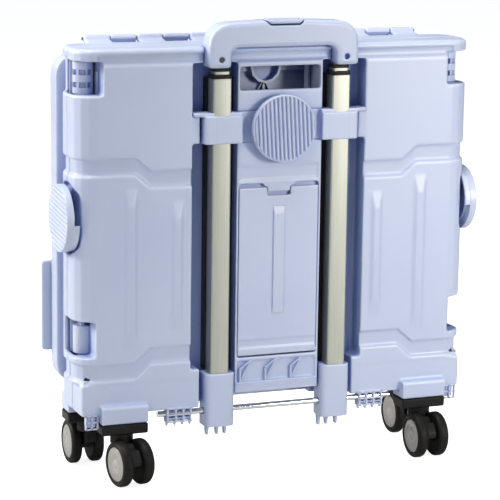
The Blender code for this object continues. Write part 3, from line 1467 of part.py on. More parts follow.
def wheel_profile():
    """Half section of a wheel as (radius, place along the axle), outer face towards +x, with its bore."""
    half = WHEEL_WIDTH / 2
    shoulder = WHEEL_SHOULDER
    return [
        (WHEEL_BORE_RADIUS, -half),
        (WHEEL_RADIUS - shoulder, -half),
        (WHEEL_RADIUS, -half + shoulder),
        (WHEEL_RADIUS, half - shoulder),
        (WHEEL_RADIUS - shoulder, half),
        (HUB_RADIUS, half),
        (HUB_RADIUS - HUB_SUNK, half - HUB_SUNK),
        (WHEEL_BORE_RADIUS, half - HUB_SUNK),
    ]


def caster_reach(swivel):
    """How far a caster's wheels reach past its swivel axis when they trail at this angle."""
    farthest = 0.0
    for radius, along in wheel_profile():
        out = WHEEL_OFFSET + abs(along)
        farthest = max(farthest, (CASTER_TRAIL + radius) * math.cos(swivel) + out * math.sin(swivel))
    return farthest


def caster_meshes():
    """The five shapes of a caster about its swivel axis, trailing to -y, with z = 0 on the ground."""
    width, depth = PLATE_HALF_WIDTH, PLATE_HALF_DEPTH
    plate = bevel(block(-width, width, -depth, depth, PLATE_LOW, PLATE_HIGH), PLATE_EDGE, 1)
    stem_hole = cylinder(STEM_RADIUS + RUNNING_GAP, "z", (0, 0, 0), PLATE_LOW - OVERRUN, STEM_TOP + GAP)
    plate = cut(plate, stem_hole)

    radius = FORK_HUB_RADIUS
    back = SWIVEL_RADIUS
    cheek = rounded(
        [
            (-CASTER_TRAIL - radius, WHEEL_RADIUS - radius, FORK_FOOT_RADIUS),
            (-CASTER_TRAIL + radius, WHEEL_RADIUS - radius, FORK_FOOT_RADIUS),
            (back, FORK_TOP - SWIVEL_RADIUS, BLEND),
            (back, FORK_TOP, 0),
            (-CASTER_TRAIL + radius / 2, FORK_TOP, SWIVEL_RADIUS / 2),
            (-CASTER_TRAIL - radius, WHEEL_RADIUS + radius, BLEND),
        ],
        3,
    )
    fork = prism(cheek, "x", -FORK_HALF_WIDTH, FORK_HALF_WIDTH)
    swivel = turned(
        [
            (0.0, SWIVEL_LOW),
            (SWIVEL_RADIUS, SWIVEL_LOW),
            (SWIVEL_RADIUS, SWIVEL_HIGH),
            (STEM_RADIUS, SWIVEL_HIGH),
            (STEM_RADIUS, STEM_TOP),
            (0.0, STEM_TOP),
        ],
        ROD_SIDES,
    )
    axle_centre = (0, -CASTER_TRAIL, WHEEL_RADIUS)
    reach = FORK_HALF_WIDTH * 2 + OVERRUN
    cutters = [cylinder(AXLE_RADIUS + GAP, "x", axle_centre, -reach, reach)]
    arch = WHEEL_RADIUS + WHEEL_ARCH_GAP
    cutters.append(cylinder(arch, "x", axle_centre, -reach, -FORK_HALF_WIDTH, ROD_SIDES))
    cutters.append(cylinder(arch, "x", axle_centre, FORK_HALF_WIDTH, reach, ROD_SIDES))
    fork = cut(join(fork, swivel), *cutters)

    end = WHEEL_OFFSET + WHEEL_WIDTH / 2 - AXLE_END_INSET
    axle = cylinder(AXLE_RADIUS, "x", (0, 0, 0), -end, end)
    wheel = turned(wheel_profile(), WHEEL_STEPS, "x", closed=True)

    brake_outline = rounded(
        [
            (BRAKE_PIVOT_RADIUS, BRAKE_PIVOT_RADIUS, BLEND),
            (-BRAKE_PIVOT_RADIUS, BRAKE_PIVOT_RADIUS, BLEND),
            (-BRAKE_REACH, -BRAKE_BEND, BLEND),
            (-BRAKE_REACH, -BRAKE_DROP, BLEND),
            (-BRAKE_REACH + BRAKE_THICKNESS, -BRAKE_DROP, 0),
            (-BRAKE_REACH + BRAKE_THICKNESS, -BRAKE_BEND, BLEND),
            (-BRAKE_PIVOT_RADIUS, -BRAKE_PIVOT_RADIUS / 2, 0),
            (BRAKE_PIVOT_RADIUS, -BRAKE_PIVOT_RADIUS / 2, 0),
        ],
        2,
    )
    brake = prism(brake_outline, "x", -BRAKE_HALF_WIDTH, BRAKE_HALF_WIDTH)
    return {"plate": plate, "fork": fork, "axle": axle, "wheel": wheel, "brake": brake}


def placed(mesh_form, name, parent, place, look, flip=False):
    """A new object on a shared mesh, under an empty, at a place in the empty's own frame."""
    form = bpy.data.objects.new(name, mesh_form.data.copy())
    bpy.context.scene.collection.objects.link(form)
    if flip:
        mirrored(form, "x")
    form.parent = parent
    form.location = place
    return finish(form, name, look)


def caster(shapes, word, x, y, turn, brake):
    """One caster: a fixed plate, and a swivelling fork with its axle, two wheels and perhaps a brake."""
    placed(shapes["plate"], word + "_plate", None, (x, y, 0.0), BLACK)
    swivel = pivot(word + "_swivel", (x, y, 0.0))
    swivel.rotation_euler.z = turn
    placed(shapes["fork"], word + "_fork", swivel, (0.0, 0.0, 0.0), BLACK)
    centre = Vector((0.0, -CASTER_TRAIL, WHEEL_RADIUS))
    placed(shapes["axle"], word + "_axle", swivel, centre, STEEL)
    for side, hand in ((-1, "a"), (1, "b")):
        place = centre + Vector((side * WHEEL_OFFSET, 0.0, 0.0))
        placed(shapes["wheel"], word + "_wheel_" + hand, swivel, place, WHEEL_BLACK, flip=side < 0)
    if brake:
        place = (0.0, BRAKE_PIVOT_Y, BRAKE_PIVOT_Z)
        placed(shapes["brake"], word + "_brake", swivel, place, BLACK)


def build():
    clear_scene()
    front_caster_y = caster_reach(REAR_LEFT_SWIVEL) - REAR_CASTER_Y - caster_reach(0.0)

    rear_shell()
    rod = cylinder(ROD_RADIUS, "x", (0, ROD_Y, ROD_Z), -ROD_HALF_LENGTH, ROD_HALF_LENGTH, ROD_SIDES)
    finish(rod, "hinge_rod", STEEL)

    walls = side_walls()
    front = front_shell(front_caster_y)
    floor = base_panel()
    top, plate = lid(), lid_side_plate()
    reach = LID_HINGE_HALF_LENGTH + BITE
    pin = finish(
        cylinder(LID_PIN_RADIUS, "x", (0, LID_PIN_Y, LID_PIN_Z), -reach, reach), "lid_pin", STEEL
    )
    middle = mid_hinge_x()
    left_fold = pivot("left_rear_wall_hinge", (-HINGE_X, -HINGE_SPREAD, WALL_LOW))
    hang(left_fold, walls["left_rear_wall"], walls["left_wall_pin"])
    left_elbow = pivot("left_middle_hinge", (-middle, 0.0, WALL_LOW), left_fold)
    hang(left_elbow, walls["left_front_wall"])
    front_hinge = pivot("front_shell_hinge", (-HINGE_X, HINGE_SPREAD, WALL_LOW), left_elbow)
    hang(front_hinge, front, floor, pin)
    lid_hinge = pivot("lid_hinge", (0.0, LID_PIN_Y, LID_PIN_Z), front_hinge)
    hang(lid_hinge, top, plate)
    right_fold = pivot("right_rear_wall_hinge", (HINGE_X, -HINGE_SPREAD, WALL_LOW))
    hang(right_fold, walls["right_rear_wall"], walls["right_wall_pin"])
    right_elbow = pivot("right_middle_hinge", (middle, 0.0, WALL_LOW), right_fold)
    hang(right_elbow, walls["right_front_wall"])

    knob_z = (CLAMP_LOW + CLAMP_HIGH) / 2
    knob_y = -SHELL_DEPTH - KNOB_SKIRT_DEPTH - BITE
    left_knob, right_knob, centre_knob = knobs(knob_z, knob_y)
    handle = pivot("handle_hinge", (0.0, ROD_Y, ROD_Z))
    bracket = tube_bracket()
    hang(handle, bracket)
    knob_pivot = pivot("bracket_knob_axis", (0.0, knob_y, knob_z), handle)
    hang(knob_pivot, centre_knob)
    hang(pivot("left_knob_axis", (-SIDE_KNOB_FACE_X, 0.0, SIDE_KNOB_Z)), left_knob)
    hang(pivot("right_knob_axis", (SIDE_KNOB_FACE_X, 0.0, SIDE_KNOB_Z)), right_knob)
    middle_stage = pivot("middle_stage", (0.0, TUBE_Y, TUBE_TOP), handle)
    inner_stage = pivot("inner_stage", (0.0, TUBE_Y, GRIP_LOW), middle_stage)
    for side, word in ((-1, "left"), (1, "right")):
        pieces = telescope(side, word)
        hang(handle, pieces["outer_tube"], pieces["outer_collar"], pieces["tube_guide"], socket(side, word))
        hang(middle_stage, pieces["middle_tube"], pieces["middle_collar"])
        hang(inner_stage, pieces["inner_tube"])
    grip, button, screw = grip_pieces()
    hang(inner_stage, grip, screw)
    hang(pivot("button_slide", (0.0, TUBE_Y, BUTTON_LOW), inner_stage), button)
    hang(pivot("hatch_hinge", (0.0, DOOR_PIN_Y, DOOR_PIN_Z)), hatch_pieces())

    shapes = caster_meshes()
    places = (
        ("caster_rear_left", -REAR_CASTER_X, REAR_CASTER_Y, REAR_LEFT_SWIVEL, True),
        ("caster_rear_right", REAR_CASTER_X, REAR_CASTER_Y, 0.0, True),
        ("caster_front_left", -FRONT_CASTER_X, front_caster_y, math.pi, False),
        ("caster_front_right", FRONT_CASTER_X, front_caster_y, math.pi, False),
    )
    for word, x, y, turn, brake in places:
        caster(shapes, word, x, y, turn, brake)
    for shape in shapes.values():
        bpy.data.objects.remove(shape, do_unlink=True)


build()
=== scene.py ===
"""Looks of a folding hobby trolley, folded flat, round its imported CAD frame.

Metres, +Z up, standing on z = 0. The tube side faces -Y.
"""

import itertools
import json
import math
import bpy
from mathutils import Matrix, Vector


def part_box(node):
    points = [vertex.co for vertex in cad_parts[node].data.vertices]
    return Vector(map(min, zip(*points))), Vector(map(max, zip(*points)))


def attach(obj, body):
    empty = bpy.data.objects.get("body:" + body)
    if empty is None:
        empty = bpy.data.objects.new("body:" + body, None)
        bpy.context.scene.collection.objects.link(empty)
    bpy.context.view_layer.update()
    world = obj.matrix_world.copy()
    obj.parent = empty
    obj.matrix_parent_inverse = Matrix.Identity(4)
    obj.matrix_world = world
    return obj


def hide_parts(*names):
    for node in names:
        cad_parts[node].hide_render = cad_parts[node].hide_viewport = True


bl_info = {
    "name": "Folding Hobby Trolley",
    "version": (1, 0, 0),
    "blender": (4, 5, 0),
    "location": "3D View > Sidebar > Trolley",
    "description": "Moulded shells, telescopic handle and casters of a folding trolley",
    "category": "Object",
}

import bmesh
import bpy
from bpy.props import FloatProperty, FloatVectorProperty, IntProperty, PointerProperty
from mathutils import Matrix, Vector

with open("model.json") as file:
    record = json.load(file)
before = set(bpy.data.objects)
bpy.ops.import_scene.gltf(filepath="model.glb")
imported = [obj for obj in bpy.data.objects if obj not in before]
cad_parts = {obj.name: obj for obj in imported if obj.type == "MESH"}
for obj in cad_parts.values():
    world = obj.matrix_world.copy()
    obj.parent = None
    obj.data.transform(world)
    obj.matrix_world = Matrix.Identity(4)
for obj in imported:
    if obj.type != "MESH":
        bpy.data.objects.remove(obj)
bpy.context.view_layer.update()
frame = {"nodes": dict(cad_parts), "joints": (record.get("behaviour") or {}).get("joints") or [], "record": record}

BODY_OF = {node: body for body, nodes in frame["record"]["behaviour"]["bodies"].items() for node in nodes}
SLOT_OF = {row["node"]: row["material_slot"] for row in frame["record"]["subparts"]}
JOINTS = {joint["name"]: joint for joint in frame["joints"]}
CASTERS = ("rear_left", "rear_right", "front_left", "front_right")

WELD = 0.00002
FLAT_ANGLE = math.radians(1.0)
SMOOTH_ANGLE = math.radians(32)
EDGE_SEGMENTS = 2

SIDES = ((-1, "left"), (1, "right"))
MIDDLE = (0.0, 0.0, 0.25)
KNOB_DEPTH = 0.0145
BARREL_X = 0.2122
BARREL_Y = -0.002
UPPER_POCKET = (0.4195, 0.4565)
LOWER_POCKET = (0.1385, 0.179)
UPPER_BARREL = (0.4205, 0.4555)
LOWER_BARREL = (0.1395, 0.170)
UPPER_GROOVES = ((0.4277, 0.4334), (0.4411, 0.4469))


def colour_property(name, description, default):
    return FloatVectorProperty(
        name=name, description=description, default=default, size=3, subtype="COLOR", min=0.0, max=1.0
    )


def length_property(name, description, default):
    return FloatProperty(
        name=name, description=description, default=default, unit="LENGTH", subtype="DISTANCE", min=0.0, precision=4
    )


class TrolleyColours(bpy.types.PropertyGroup):
    """Colours of the trolley's finishes, and of the shade and highlight painted on its pale plastic."""

    plastic: colour_property("Plastic", "Pale grey-blue moulded plastic", (0.435, 0.488, 0.65))
    # Painted shade: mixed into the plastic where nearby surfaces hide it from light, in place of the shade that falls
    # in recesses.
    painted_recess_shade: colour_property("Plastic in recesses", "The plastic where little light falls", (0.18, 0.27, 0.62))
    # Pale tone of the flow marks, and the painted highlight on the plastic's convex edges.
    edge: colour_property("Plastic at edges", "Moulded edges, a little paler", (0.66, 0.69, 0.80))
    tube: colour_property("Tube", "Satin anodised aluminium", (0.47, 0.48, 0.43))
    black: colour_property("Black plastic", "Caster housings, collars and guides", (0.006, 0.006, 0.007))
    rubber: colour_property("Tyre", "Black tyres", (0.008, 0.0075, 0.007))
    disc: colour_property("Wheel disc", "Grey discs on the wheels", (0.39, 0.37, 0.355))
    disc_hole: colour_property("Disc dimples", "The dimples in the wheel discs", (0.24, 0.23, 0.22))
    steel: colour_property("Steel", "Zinc plated pins, axles and screws", (0.60, 0.60, 0.58))
    screw: colour_property("Screw", "The blackened screw in the grip", (0.10, 0.10, 0.105))
    chrome: colour_property("Rod", "The polished hinge rod", (0.78, 0.79, 0.78))


class TrolleyForms(bpy.types.PropertyGroup):
    """Radii and counts of the rounded forms."""

    mould_grain: length_property("Mould grain", "Fineness of the shells' soft forms", 0.0014)
    mould_rounds: IntProperty(name="Mould rounds", description="How far the shells' edges run soft", default=4, min=0)
    mould_kept: FloatProperty(name="Mould faces kept", description="Share of the soft forms' faces kept", default=0.3)
    panel_edge: length_property("Panel edge", "Radius of the walls', floor's and lid's edges", 0.0006)
    small_edge: length_property("Small edge", "Radius of the edges of small parts", 0.0005)
    fine_edge: length_property("Fine edge", "Radius of the edges of tubes and pins", 0.0002)
    tube_corner: length_property("Tube corner", "Radius of the tubes' corners", 0.0018)
    knob_ribs: IntProperty(name="Knob ribs", description="Ribs across a twist knob", default=15, min=3)
    knob_tilt: FloatProperty(
        name="Side knob tilt", description="Turn of the side knobs from level", default=0.10, unit="ROTATION"
    )
    centre_tilt: FloatProperty(
        name="Bracket knob tilt", description="Turn of the bracket's knob", default=-0.063, unit="ROTATION"
    )
    rib_depth: length_property("Bracket knob rib depth", "Height of the ribs on the bracket's knob", 0.0028)
    side_rib_depth: length_property("Side knob rib depth", "Height of the ribs on the side knobs", 0.0012)
    turned_steps: IntProperty(name="Turned steps", description="Steps round turned forms", default=96, min=12)


class TrolleyStudio(bpy.types.PropertyGroup):
    """Camera, floor and lights."""

    eye: FloatVectorProperty(
        name="Camera place", description="Where the camera stands", default=(-0.90603, -2.28482, 0.72677), subtype="XYZ"
    )
    right: FloatVectorProperty(
        name="Camera right", description="The picture's direction to the right", default=(0.9331, -0.3593, 0.0132)
    )
    up: FloatVectorProperty(
        name="Camera up", description="The picture's upward direction", default=(0.0579, 0.1865, 0.9807)
    )
    focal: FloatProperty(name="Focal length", description="On a 36 mm sensor, in mm", default=162.97, min=1.0)
    floor: colour_property("Floor", "Plain pale floor and backdrop", (0.62, 0.62, 0.62))
    glow: FloatProperty(name="Floor glow", description="How far the floor is lifted to white", default=0.86, min=0.0)
    room_tint: colour_property("Room tint", "Colour of the even light of the room", (0.62, 0.74, 1.0))
    lamp_tint: colour_property("Lamp tint", "Colour of the lamps", (1.0, 0.97, 0.89))
    sky: FloatProperty(name="Room light", description="Strength of the even light of the room", default=0.25, min=0.0)
    key: FloatProperty(name="Key light", description="Power of the big light at the left", default=66.0, min=0.0)
    front: FloatProperty(name="Front light", description="Power of the big light in front", default=5.0, min=0.0)
    fill: FloatProperty(name="Fill light", description="Power of the light on the right half", default=125.0, min=0.0)
    top: FloatProperty(name="Top light", description="Power of the light overhead", default=44.0, min=0.0)


def colours():
    return bpy.context.scene.trolley_colours


def forms():
    return bpy.context.scene.trolley_forms


def studio():
    return bpy.context.scene.trolley_studio


# Shader building


def link(tree, source, target):
    tree.links.new(source, target)


def new_node(tree, kind, **settings):
    node = tree.nodes.new(kind)
    for key, value in settings.items():
        setattr(node, key, value)
    return node


def maths(tree, operation, *values):
    """A Math node whose inputs are numbers or sockets. It gives its output socket."""
    node = new_node(tree, "ShaderNodeMath", operation=operation)
    for socket, value in zip(node.inputs, values):
        if isinstance(value, bpy.types.NodeSocket):
            link(tree, value, socket)
        else:
            socket.default_value = value
    return node.outputs[0]


def distance(tree, across, along):
    """The length of the sockets' two steps at right angles."""
    squares = maths(tree, "MULTIPLY", across, across), maths(tree, "MULTIPLY", along, along)
    return maths(tree, "SQRT", maths(tree, "ADD", *squares))


def blend_colours(tree, share, first, second):
    """A Mix node between two colours, each a socket or a triple. It gives its output socket."""
    node = new_node(tree, "ShaderNodeMix", data_type="RGBA")
    for socket, value in zip((node.inputs[0], node.inputs[6], node.inputs[7]), (share, first, second)):
        if isinstance(value, bpy.types.NodeSocket):
            link(tree, value, socket)
        elif isinstance(value, float):
            socket.default_value = value
        else:
            socket.default_value = (*value, 1.0)
    return node.outputs[2]


def remapped(tree, value, low, high, new_low, new_high):
    """The value's range from low to high, stretched to the new range and clamped there."""
    node = new_node(tree, "ShaderNodeMapRange")
    link(tree, value, node.inputs["Value"])
    for name, number in (("From Min", low), ("From Max", high), ("To Min", new_low), ("To Max", new_high)):
        node.inputs[name].default_value = number
    return node.outputs[0]


def effect(name, inputs, outputs):
    """An empty shader group with named sockets, and its input and output nodes."""
    tree = bpy.data.node_groups.new(name, "ShaderNodeTree")
    for label, kind, default in inputs:
        tree.interface.new_socket(label, in_out="INPUT", socket_type=kind).default_value = default
    for label, kind in outputs:
        tree.interface.new_socket(label, in_out="OUTPUT", socket_type=kind)
    return tree, tree.nodes.new("NodeGroupInput"), tree.nodes.new("NodeGroupOutput")


def noise(tree, coordinates, scale, detail=2.0):
    node = new_node(tree, "ShaderNodeTexNoise")
    link(tree, coordinates, node.inputs["Vector"])
    if isinstance(scale, bpy.types.NodeSocket):
        link(tree, scale, node.inputs["Scale"])
    else:
        node.inputs["Scale"].default_value = scale
    node.inputs["Detail"].default_value = detail
    return node.outputs["Fac"]


def make_moulded_grain():
    """Fine spark-eroded grain and slow flow marks of a moulding."""
    tree, given, result = effect(
        "Moulded grain",
        [("Grain Scale", "NodeSocketFloat", 900.0), ("Flow Scale", "NodeSocketFloat", 9.0)],
        [("Height", "NodeSocketFloat"), ("Flow", "NodeSocketFloat")],
    )
    place = new_node(tree, "ShaderNodeTexCoord").outputs["Object"]
    grain = noise(tree, place, given.outputs["Grain Scale"], 1.0)
    flow = noise(tree, place, given.outputs["Flow Scale"], 3.0)
    link(tree, grain, result.inputs["Height"])
    link(tree, flow, result.inputs["Flow"])


def make_edge_wear_and_highlight():
    """A mask of convex edges, broken up by noise: rubbed wear on the black parts, a painted highlight on the pale
    plastic.
    """
    tree, given, result = effect(
        "Edge wear and highlight",
        [("Amount", "NodeSocketFloat", 0.5), ("Break Up Scale", "NodeSocketFloat", 60.0)],
        [("Mask", "NodeSocketFloat")],
    )
    geometry = new_node(tree, "ShaderNodeNewGeometry")
    place = new_node(tree, "ShaderNodeTexCoord").outputs["Object"]
    edge = remapped(tree, geometry.outputs["Pointiness"], 0.505, 0.56, 0.0, 1.0)
    broken = remapped(tree, noise(tree, place, given.outputs["Break Up Scale"], 4.0), 0.35, 0.65, 0.55, 1.0)
    mask = maths(tree, "MULTIPLY", maths(tree, "MULTIPLY", edge, broken), given.outputs["Amount"])
    link(tree, mask, result.inputs["Mask"])


def make_painted_recess_shade():
    """A mask for painted shade: how far nearby surfaces hide a point from light, 0 in the open, 1 where little light
    falls.
    """
    tree, given, result = effect(
        "Painted recess shade",
        [("Amount", "NodeSocketFloat", 1.0)],
        [("Mask", "NodeSocketFloat")],
    )
    shade = new_node(tree, "ShaderNodeAmbientOcclusion", samples=6)
    shade.inputs["Distance"].default_value = 0.035
    depth = remapped(tree, shade.outputs["AO"], 0.26, 0.84, 1.0, 0.0)
    link(tree, maths(tree, "MULTIPLY", depth, given.outputs["Amount"]), result.inputs["Mask"])


def make_drawn_lines():
    """Fine lines along z, as on drawn and brushed tube."""
    tree, given, result = effect(
        "Drawn lines",
        [("Scale", "NodeSocketFloat", 900.0), ("Stretch", "NodeSocketFloat", 0.012)],
        [("Height", "NodeSocketFloat"), ("Tone", "NodeSocketFloat")],
    )
    place = new_node(tree, "ShaderNodeTexCoord").outputs["Object"]
    parts = new_node(tree, "ShaderNodeSeparateXYZ")
    link(tree, place, parts.inputs[0])
    together = new_node(tree, "ShaderNodeCombineXYZ")
    link(tree, parts.outputs[0], together.inputs[0])
    link(tree, parts.outputs[1], together.inputs[1])
    link(tree, maths(tree, "MULTIPLY", parts.outputs[2], given.outputs["Stretch"]), together.inputs[2])
    fine = noise(tree, together.outputs[0], given.outputs["Scale"], 3.0)
    speckle = noise(tree, place, given.outputs["Scale"], 1.0)
    link(tree, fine, result.inputs["Height"])
    tone = maths(tree, "ADD", maths(tree, "MULTIPLY", fine, 0.6), maths(tree, "MULTIPLY", speckle, 0.4))
    link(tree, tone, result.inputs["Tone"])


def make_hole_rings():
    """Dimples in rings round the local x axis, six more in each ring, between two radii."""
    tree, given, result = effect(
        "Hole rings",
        [
            ("Pitch", "NodeSocketFloat", 0.0013),
            ("Hole Share", "NodeSocketFloat", 0.30),
            ("Inner Radius", "NodeSocketFloat", 0.0075),
            ("Outer Radius", "NodeSocketFloat", 0.0172),
        ],
        [("Mask", "NodeSocketFloat")],
    )
    place = new_node(tree, "ShaderNodeTexCoord").outputs["Object"]
    parts = new_node(tree, "ShaderNodeSeparateXYZ")
    link(tree, place, parts.inputs[0])
    y, z = parts.outputs[1], parts.outputs[2]
    radius = distance(tree, y, z)
    ring = maths(tree, "DIVIDE", radius, given.outputs["Pitch"])
    whole = maths(tree, "ROUND", ring)
    across = maths(tree, "SUBTRACT", ring, whole)
    turn = maths(tree, "DIVIDE", maths(tree, "ARCTAN2", z, y), 2 * math.pi)
    place_in_ring = maths(tree, "MULTIPLY", turn, maths(tree, "MULTIPLY", whole, 6.0))
    along = maths(tree, "SUBTRACT", place_in_ring, maths(tree, "ROUND", place_in_ring))
    hole = maths(tree, "LESS_THAN", distance(tree, across, along), given.outputs["Hole Share"])
    outside = maths(tree, "GREATER_THAN", radius, given.outputs["Inner Radius"])
    inside = maths(tree, "LESS_THAN", radius, given.outputs["Outer Radius"])
    link(tree, maths(tree, "MULTIPLY", hole, maths(tree, "MULTIPLY", outside, inside)), result.inputs["Mask"])


def placed_effect(tree, name, **values):
    """The named effect as a node in a material's tree, with its own values."""
    node = new_node(tree, "ShaderNodeGroup", node_tree=bpy.data.node_groups[name])
    for label, value in values.items():
        node.inputs[label.replace("_", " ").title()].default_value = value
    return node


def new_material(name, colour, roughness, metallic=0.0, **more):
    """A Principled material with plain sockets. It gives the material's tree and its shader."""
    material = bpy.data.materials.new(name)
    material.use_nodes = True
    tree = material.node_tree
    shader = tree.nodes["Principled BSDF"]
    shader.inputs["Base Color"].default_value = (*colour, 1.0)
    shader.inputs["Roughness"].default_value = roughness
    shader.inputs["Metallic"].default_value = metallic
    for label, value in more.items():
        shader.inputs[label.replace("_", " ").title().replace("Ior", "IOR")].default_value = value
    return tree, shader


def soft_edges(tree, radius):
    """A normal that turns smoothly over edges and inner corners, as a moulding's radii do."""
    node = new_node(tree, "ShaderNodeBevel", samples=6)
    node.inputs["Radius"].default_value = radius
    return node.outputs["Normal"]


def bump(tree, shader, height, distance, under=None):
    node = new_node(tree, "ShaderNodeBump")
    node.inputs["Distance"].default_value = distance
    link(tree, height, node.inputs["Height"])
    if under:
        link(tree, under, node.inputs["Normal"])
    link(tree, node.outputs["Normal"], shader.inputs["Normal"])


def moulded_plastic(name, painted_shade_amount, edge_radius):
    """Pale plastic: fine grain, slow flow marks, a painted bluer shade in recesses, and a painted highlight on its soft
    convex edges.
    """
    tone = colours()
    tree, shader = new_material(name, tone.plastic, 0.36, specular_ior_level=0.5)
    grain = placed_effect(tree, "Moulded grain", grain_scale=1100.0, flow_scale=8.0)
    # Painted shade: the plastic turns a deeper blue where nearby surfaces hide it from light.
    painted_recess_shade = placed_effect(tree, "Painted recess shade", amount=painted_shade_amount)
    # Painted highlight: convex edges are made paler, standing in for light catching them.
    wear = placed_effect(tree, "Edge wear and highlight", amount=0.45)
    flow = remapped(tree, grain.outputs["Flow"], 0.3, 0.7, 0.0, 0.10)
    base = blend_colours(tree, flow, tuple(tone.plastic), tuple(tone.edge))
    # The painted shade is mixed into the colour here.
    with_painted_shade = blend_colours(tree, painted_recess_shade.outputs["Mask"], base, tuple(tone.painted_recess_shade))
    # The painted highlight is mixed into the colour here.
    worn = blend_colours(tree, wear.outputs["Mask"], with_painted_shade, tuple(tone.edge))
    link(tree, worn, shader.inputs["Base Color"])
    rough = remapped(tree, grain.outputs["Flow"], 0.3, 0.7, 0.31, 0.42)
    link(tree, rough, shader.inputs["Roughness"])
    bump(tree, shader, grain.outputs["Height"], 0.00004, soft_edges(tree, edge_radius))


def drawn_metal(name, colour, roughness, line_height, metallic=1.0):
    """Metal with fine lines along it, in height, tone and gloss."""
    tree, shader = new_material(name, colour, roughness, metallic)
    lines = placed_effect(tree, "Drawn lines", scale=1400.0)
    dark = tuple(part * 0.86 for part in colour)
    tone = remapped(tree, lines.outputs["Tone"], 0.35, 0.65, 0.0, 1.0)
    link(tree, blend_colours(tree, tone, dark, tuple(colour)), shader.inputs["Base Color"])
    rough = remapped(tree, lines.outputs["Tone"], 0.3, 0.7, roughness - 0.05, roughness + 0.06)
    link(tree, rough, shader.inputs["Roughness"])
    bump(tree, shader, lines.outputs["Height"], line_height)


def black_plastic(name, colour, roughness, grain_height, worn_tone):
    """Black moulded plastic or rubber with grain and slightly rubbed edges."""
    tree, shader = new_material(name, colour, roughness, specular_ior_level=0.14)
    grain = placed_effect(tree, "Moulded grain", grain_scale=1500.0, flow_scale=30.0)
    wear = placed_effect(tree, "Edge wear and highlight", amount=0.5)
    worn = blend_colours(tree, wear.outputs["Mask"], tuple(colour), (worn_tone,) * 3)
    link(tree, worn, shader.inputs["Base Color"])
    rough = remapped(tree, grain.outputs["Flow"], 0.3, 0.7, roughness - 0.06, roughness + 0.10)
    link(tree, rough, shader.inputs["Roughness"])
    bump(tree, shader, grain.outputs["Height"], grain_height)


def dimpled_disc(name):
    """Grey disc with rings of dimples round a plain middle."""
    tone = colours()
    tree, shader = new_material(name, tone.disc, 0.36, 0.35)
    grain = placed_effect(tree, "Moulded grain", grain_scale=2500.0, flow_scale=60.0)
    holes = placed_effect(tree, "Hole rings")
    flow = remapped(tree, grain.outputs["Flow"], 0.3, 0.7, 0.0, 0.12)
    base = blend_colours(tree, flow, tuple(tone.disc), tuple(tone.disc_hole))
    link(tree, blend_colours(tree, holes.outputs["Mask"], base, tuple(tone.disc_hole)), shader.inputs["Base Color"])
    height = maths(tree, "SUBTRACT", maths(tree, "MULTIPLY", grain.outputs["Height"], 0.1), holes.outputs["Mask"])
    bump(tree, shader, height, 0.0002)


def make_materials():
    for maker in (make_moulded_grain, make_edge_wear_and_highlight, make_painted_recess_shade, make_drawn_lines, make_hole_rings):
        maker()
    tone = colours()
    # The first number given to each plastic sets how much shade is painted into its recesses.
    moulded_plastic("Moulded plastic", 0.9, 0.0012)
    moulded_plastic("Small plastic parts", 0.7, 0.0006)
    moulded_plastic("Open faces", 0.3, 0.0006)
    drawn_metal("Anodised tube", tone.tube, 0.42, 0.00002, 0.85)
    drawn_metal("Plated steel", tone.steel, 0.28, 0.00002)
    drawn_metal("Polished rod", tone.chrome, 0.10, 0.000006)
    drawn_metal("Blackened steel", tone.screw, 0.45, 0.00002)
    black_plastic("Black plastic", tone.black, 0.42, 0.00003, 0.03)
    black_plastic("Tyre", tone.rubber, 0.50, 0.00004, 0.02)
    dimpled_disc("Dimpled disc")


LOOK_OF_SLOT = {
    "shell": "Moulded plastic",
    "tube": "Anodised tube",
    "black_trim": "Black plastic",
    "steel": "Plated steel",
    "rod": "Polished rod",
    "wheel": "Tyre",
}


# Mesh building


def add_piece(name, bm, look):
    """An object made of the bmesh, shaded smooth but at its sharp edges."""
    bmesh.ops.recalc_face_normals(bm, faces=bm.faces)
    mesh = bpy.data.meshes.new(name)
    bm.to_mesh(mesh)
    bm.free()
    mesh.materials.append(bpy.data.materials[look])
    mesh.shade_smooth()
    mesh.set_sharp_from_angle(angle=SMOOTH_ANGLE)
    piece = bpy.data.objects.new(name, mesh)
    bpy.context.scene.collection.objects.link(piece)
    return piece


def seat(piece, node, *replaced):
    """The piece rides on the node's body, and replaces the nodes named after it."""
    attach(piece, BODY_OF[node])
    if replaced:
        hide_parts(*replaced)


def rounded_edges(piece, width, segments):
    """Rounds the piece's sharp edges."""
    modifier = piece.modifiers.new("Rounded edges", "BEVEL")
    modifier.width = width
    modifier.segments = segments
    modifier.limit_method = "ANGLE"
    modifier.angle_limit = SMOOTH_ANGLE
    modifier.harden_normals = True
    modifier.use_clamp_overlap = True


def welded_form(node):
    """The node's own mesh as a bmesh, with its doubled points joined."""
    bm = bmesh.new()
    bm.from_mesh(frame["nodes"][node].data)
    bmesh.ops.remove_doubles(bm, verts=bm.verts, dist=WELD)
    return bm


def softened(node, width, look=None):
    """The node's own form with its flat faces merged and its edges rounded, in the node's place."""
    bm = welded_form(node)
    bmesh.ops.dissolve_limit(bm, angle_limit=FLAT_ANGLE, verts=bm.verts, edges=bm.edges)
    piece = add_piece(node + "_form", bm, look or LOOK_OF_SLOT[SLOT_OF[node]])
    if width:
        rounded_edges(piece, width, EDGE_SEGMENTS)
    seat(piece, node, node)


def settled(piece):
    """Puts the result of the piece's modifiers in its mesh."""
    bpy.context.view_layer.update()
    mesh = bpy.data.meshes.new_from_object(piece.evaluated_get(bpy.context.evaluated_depsgraph_get()))
    piece.modifiers.clear()
    old = piece.data
    piece.data = mesh
    bpy.data.meshes.remove(old)


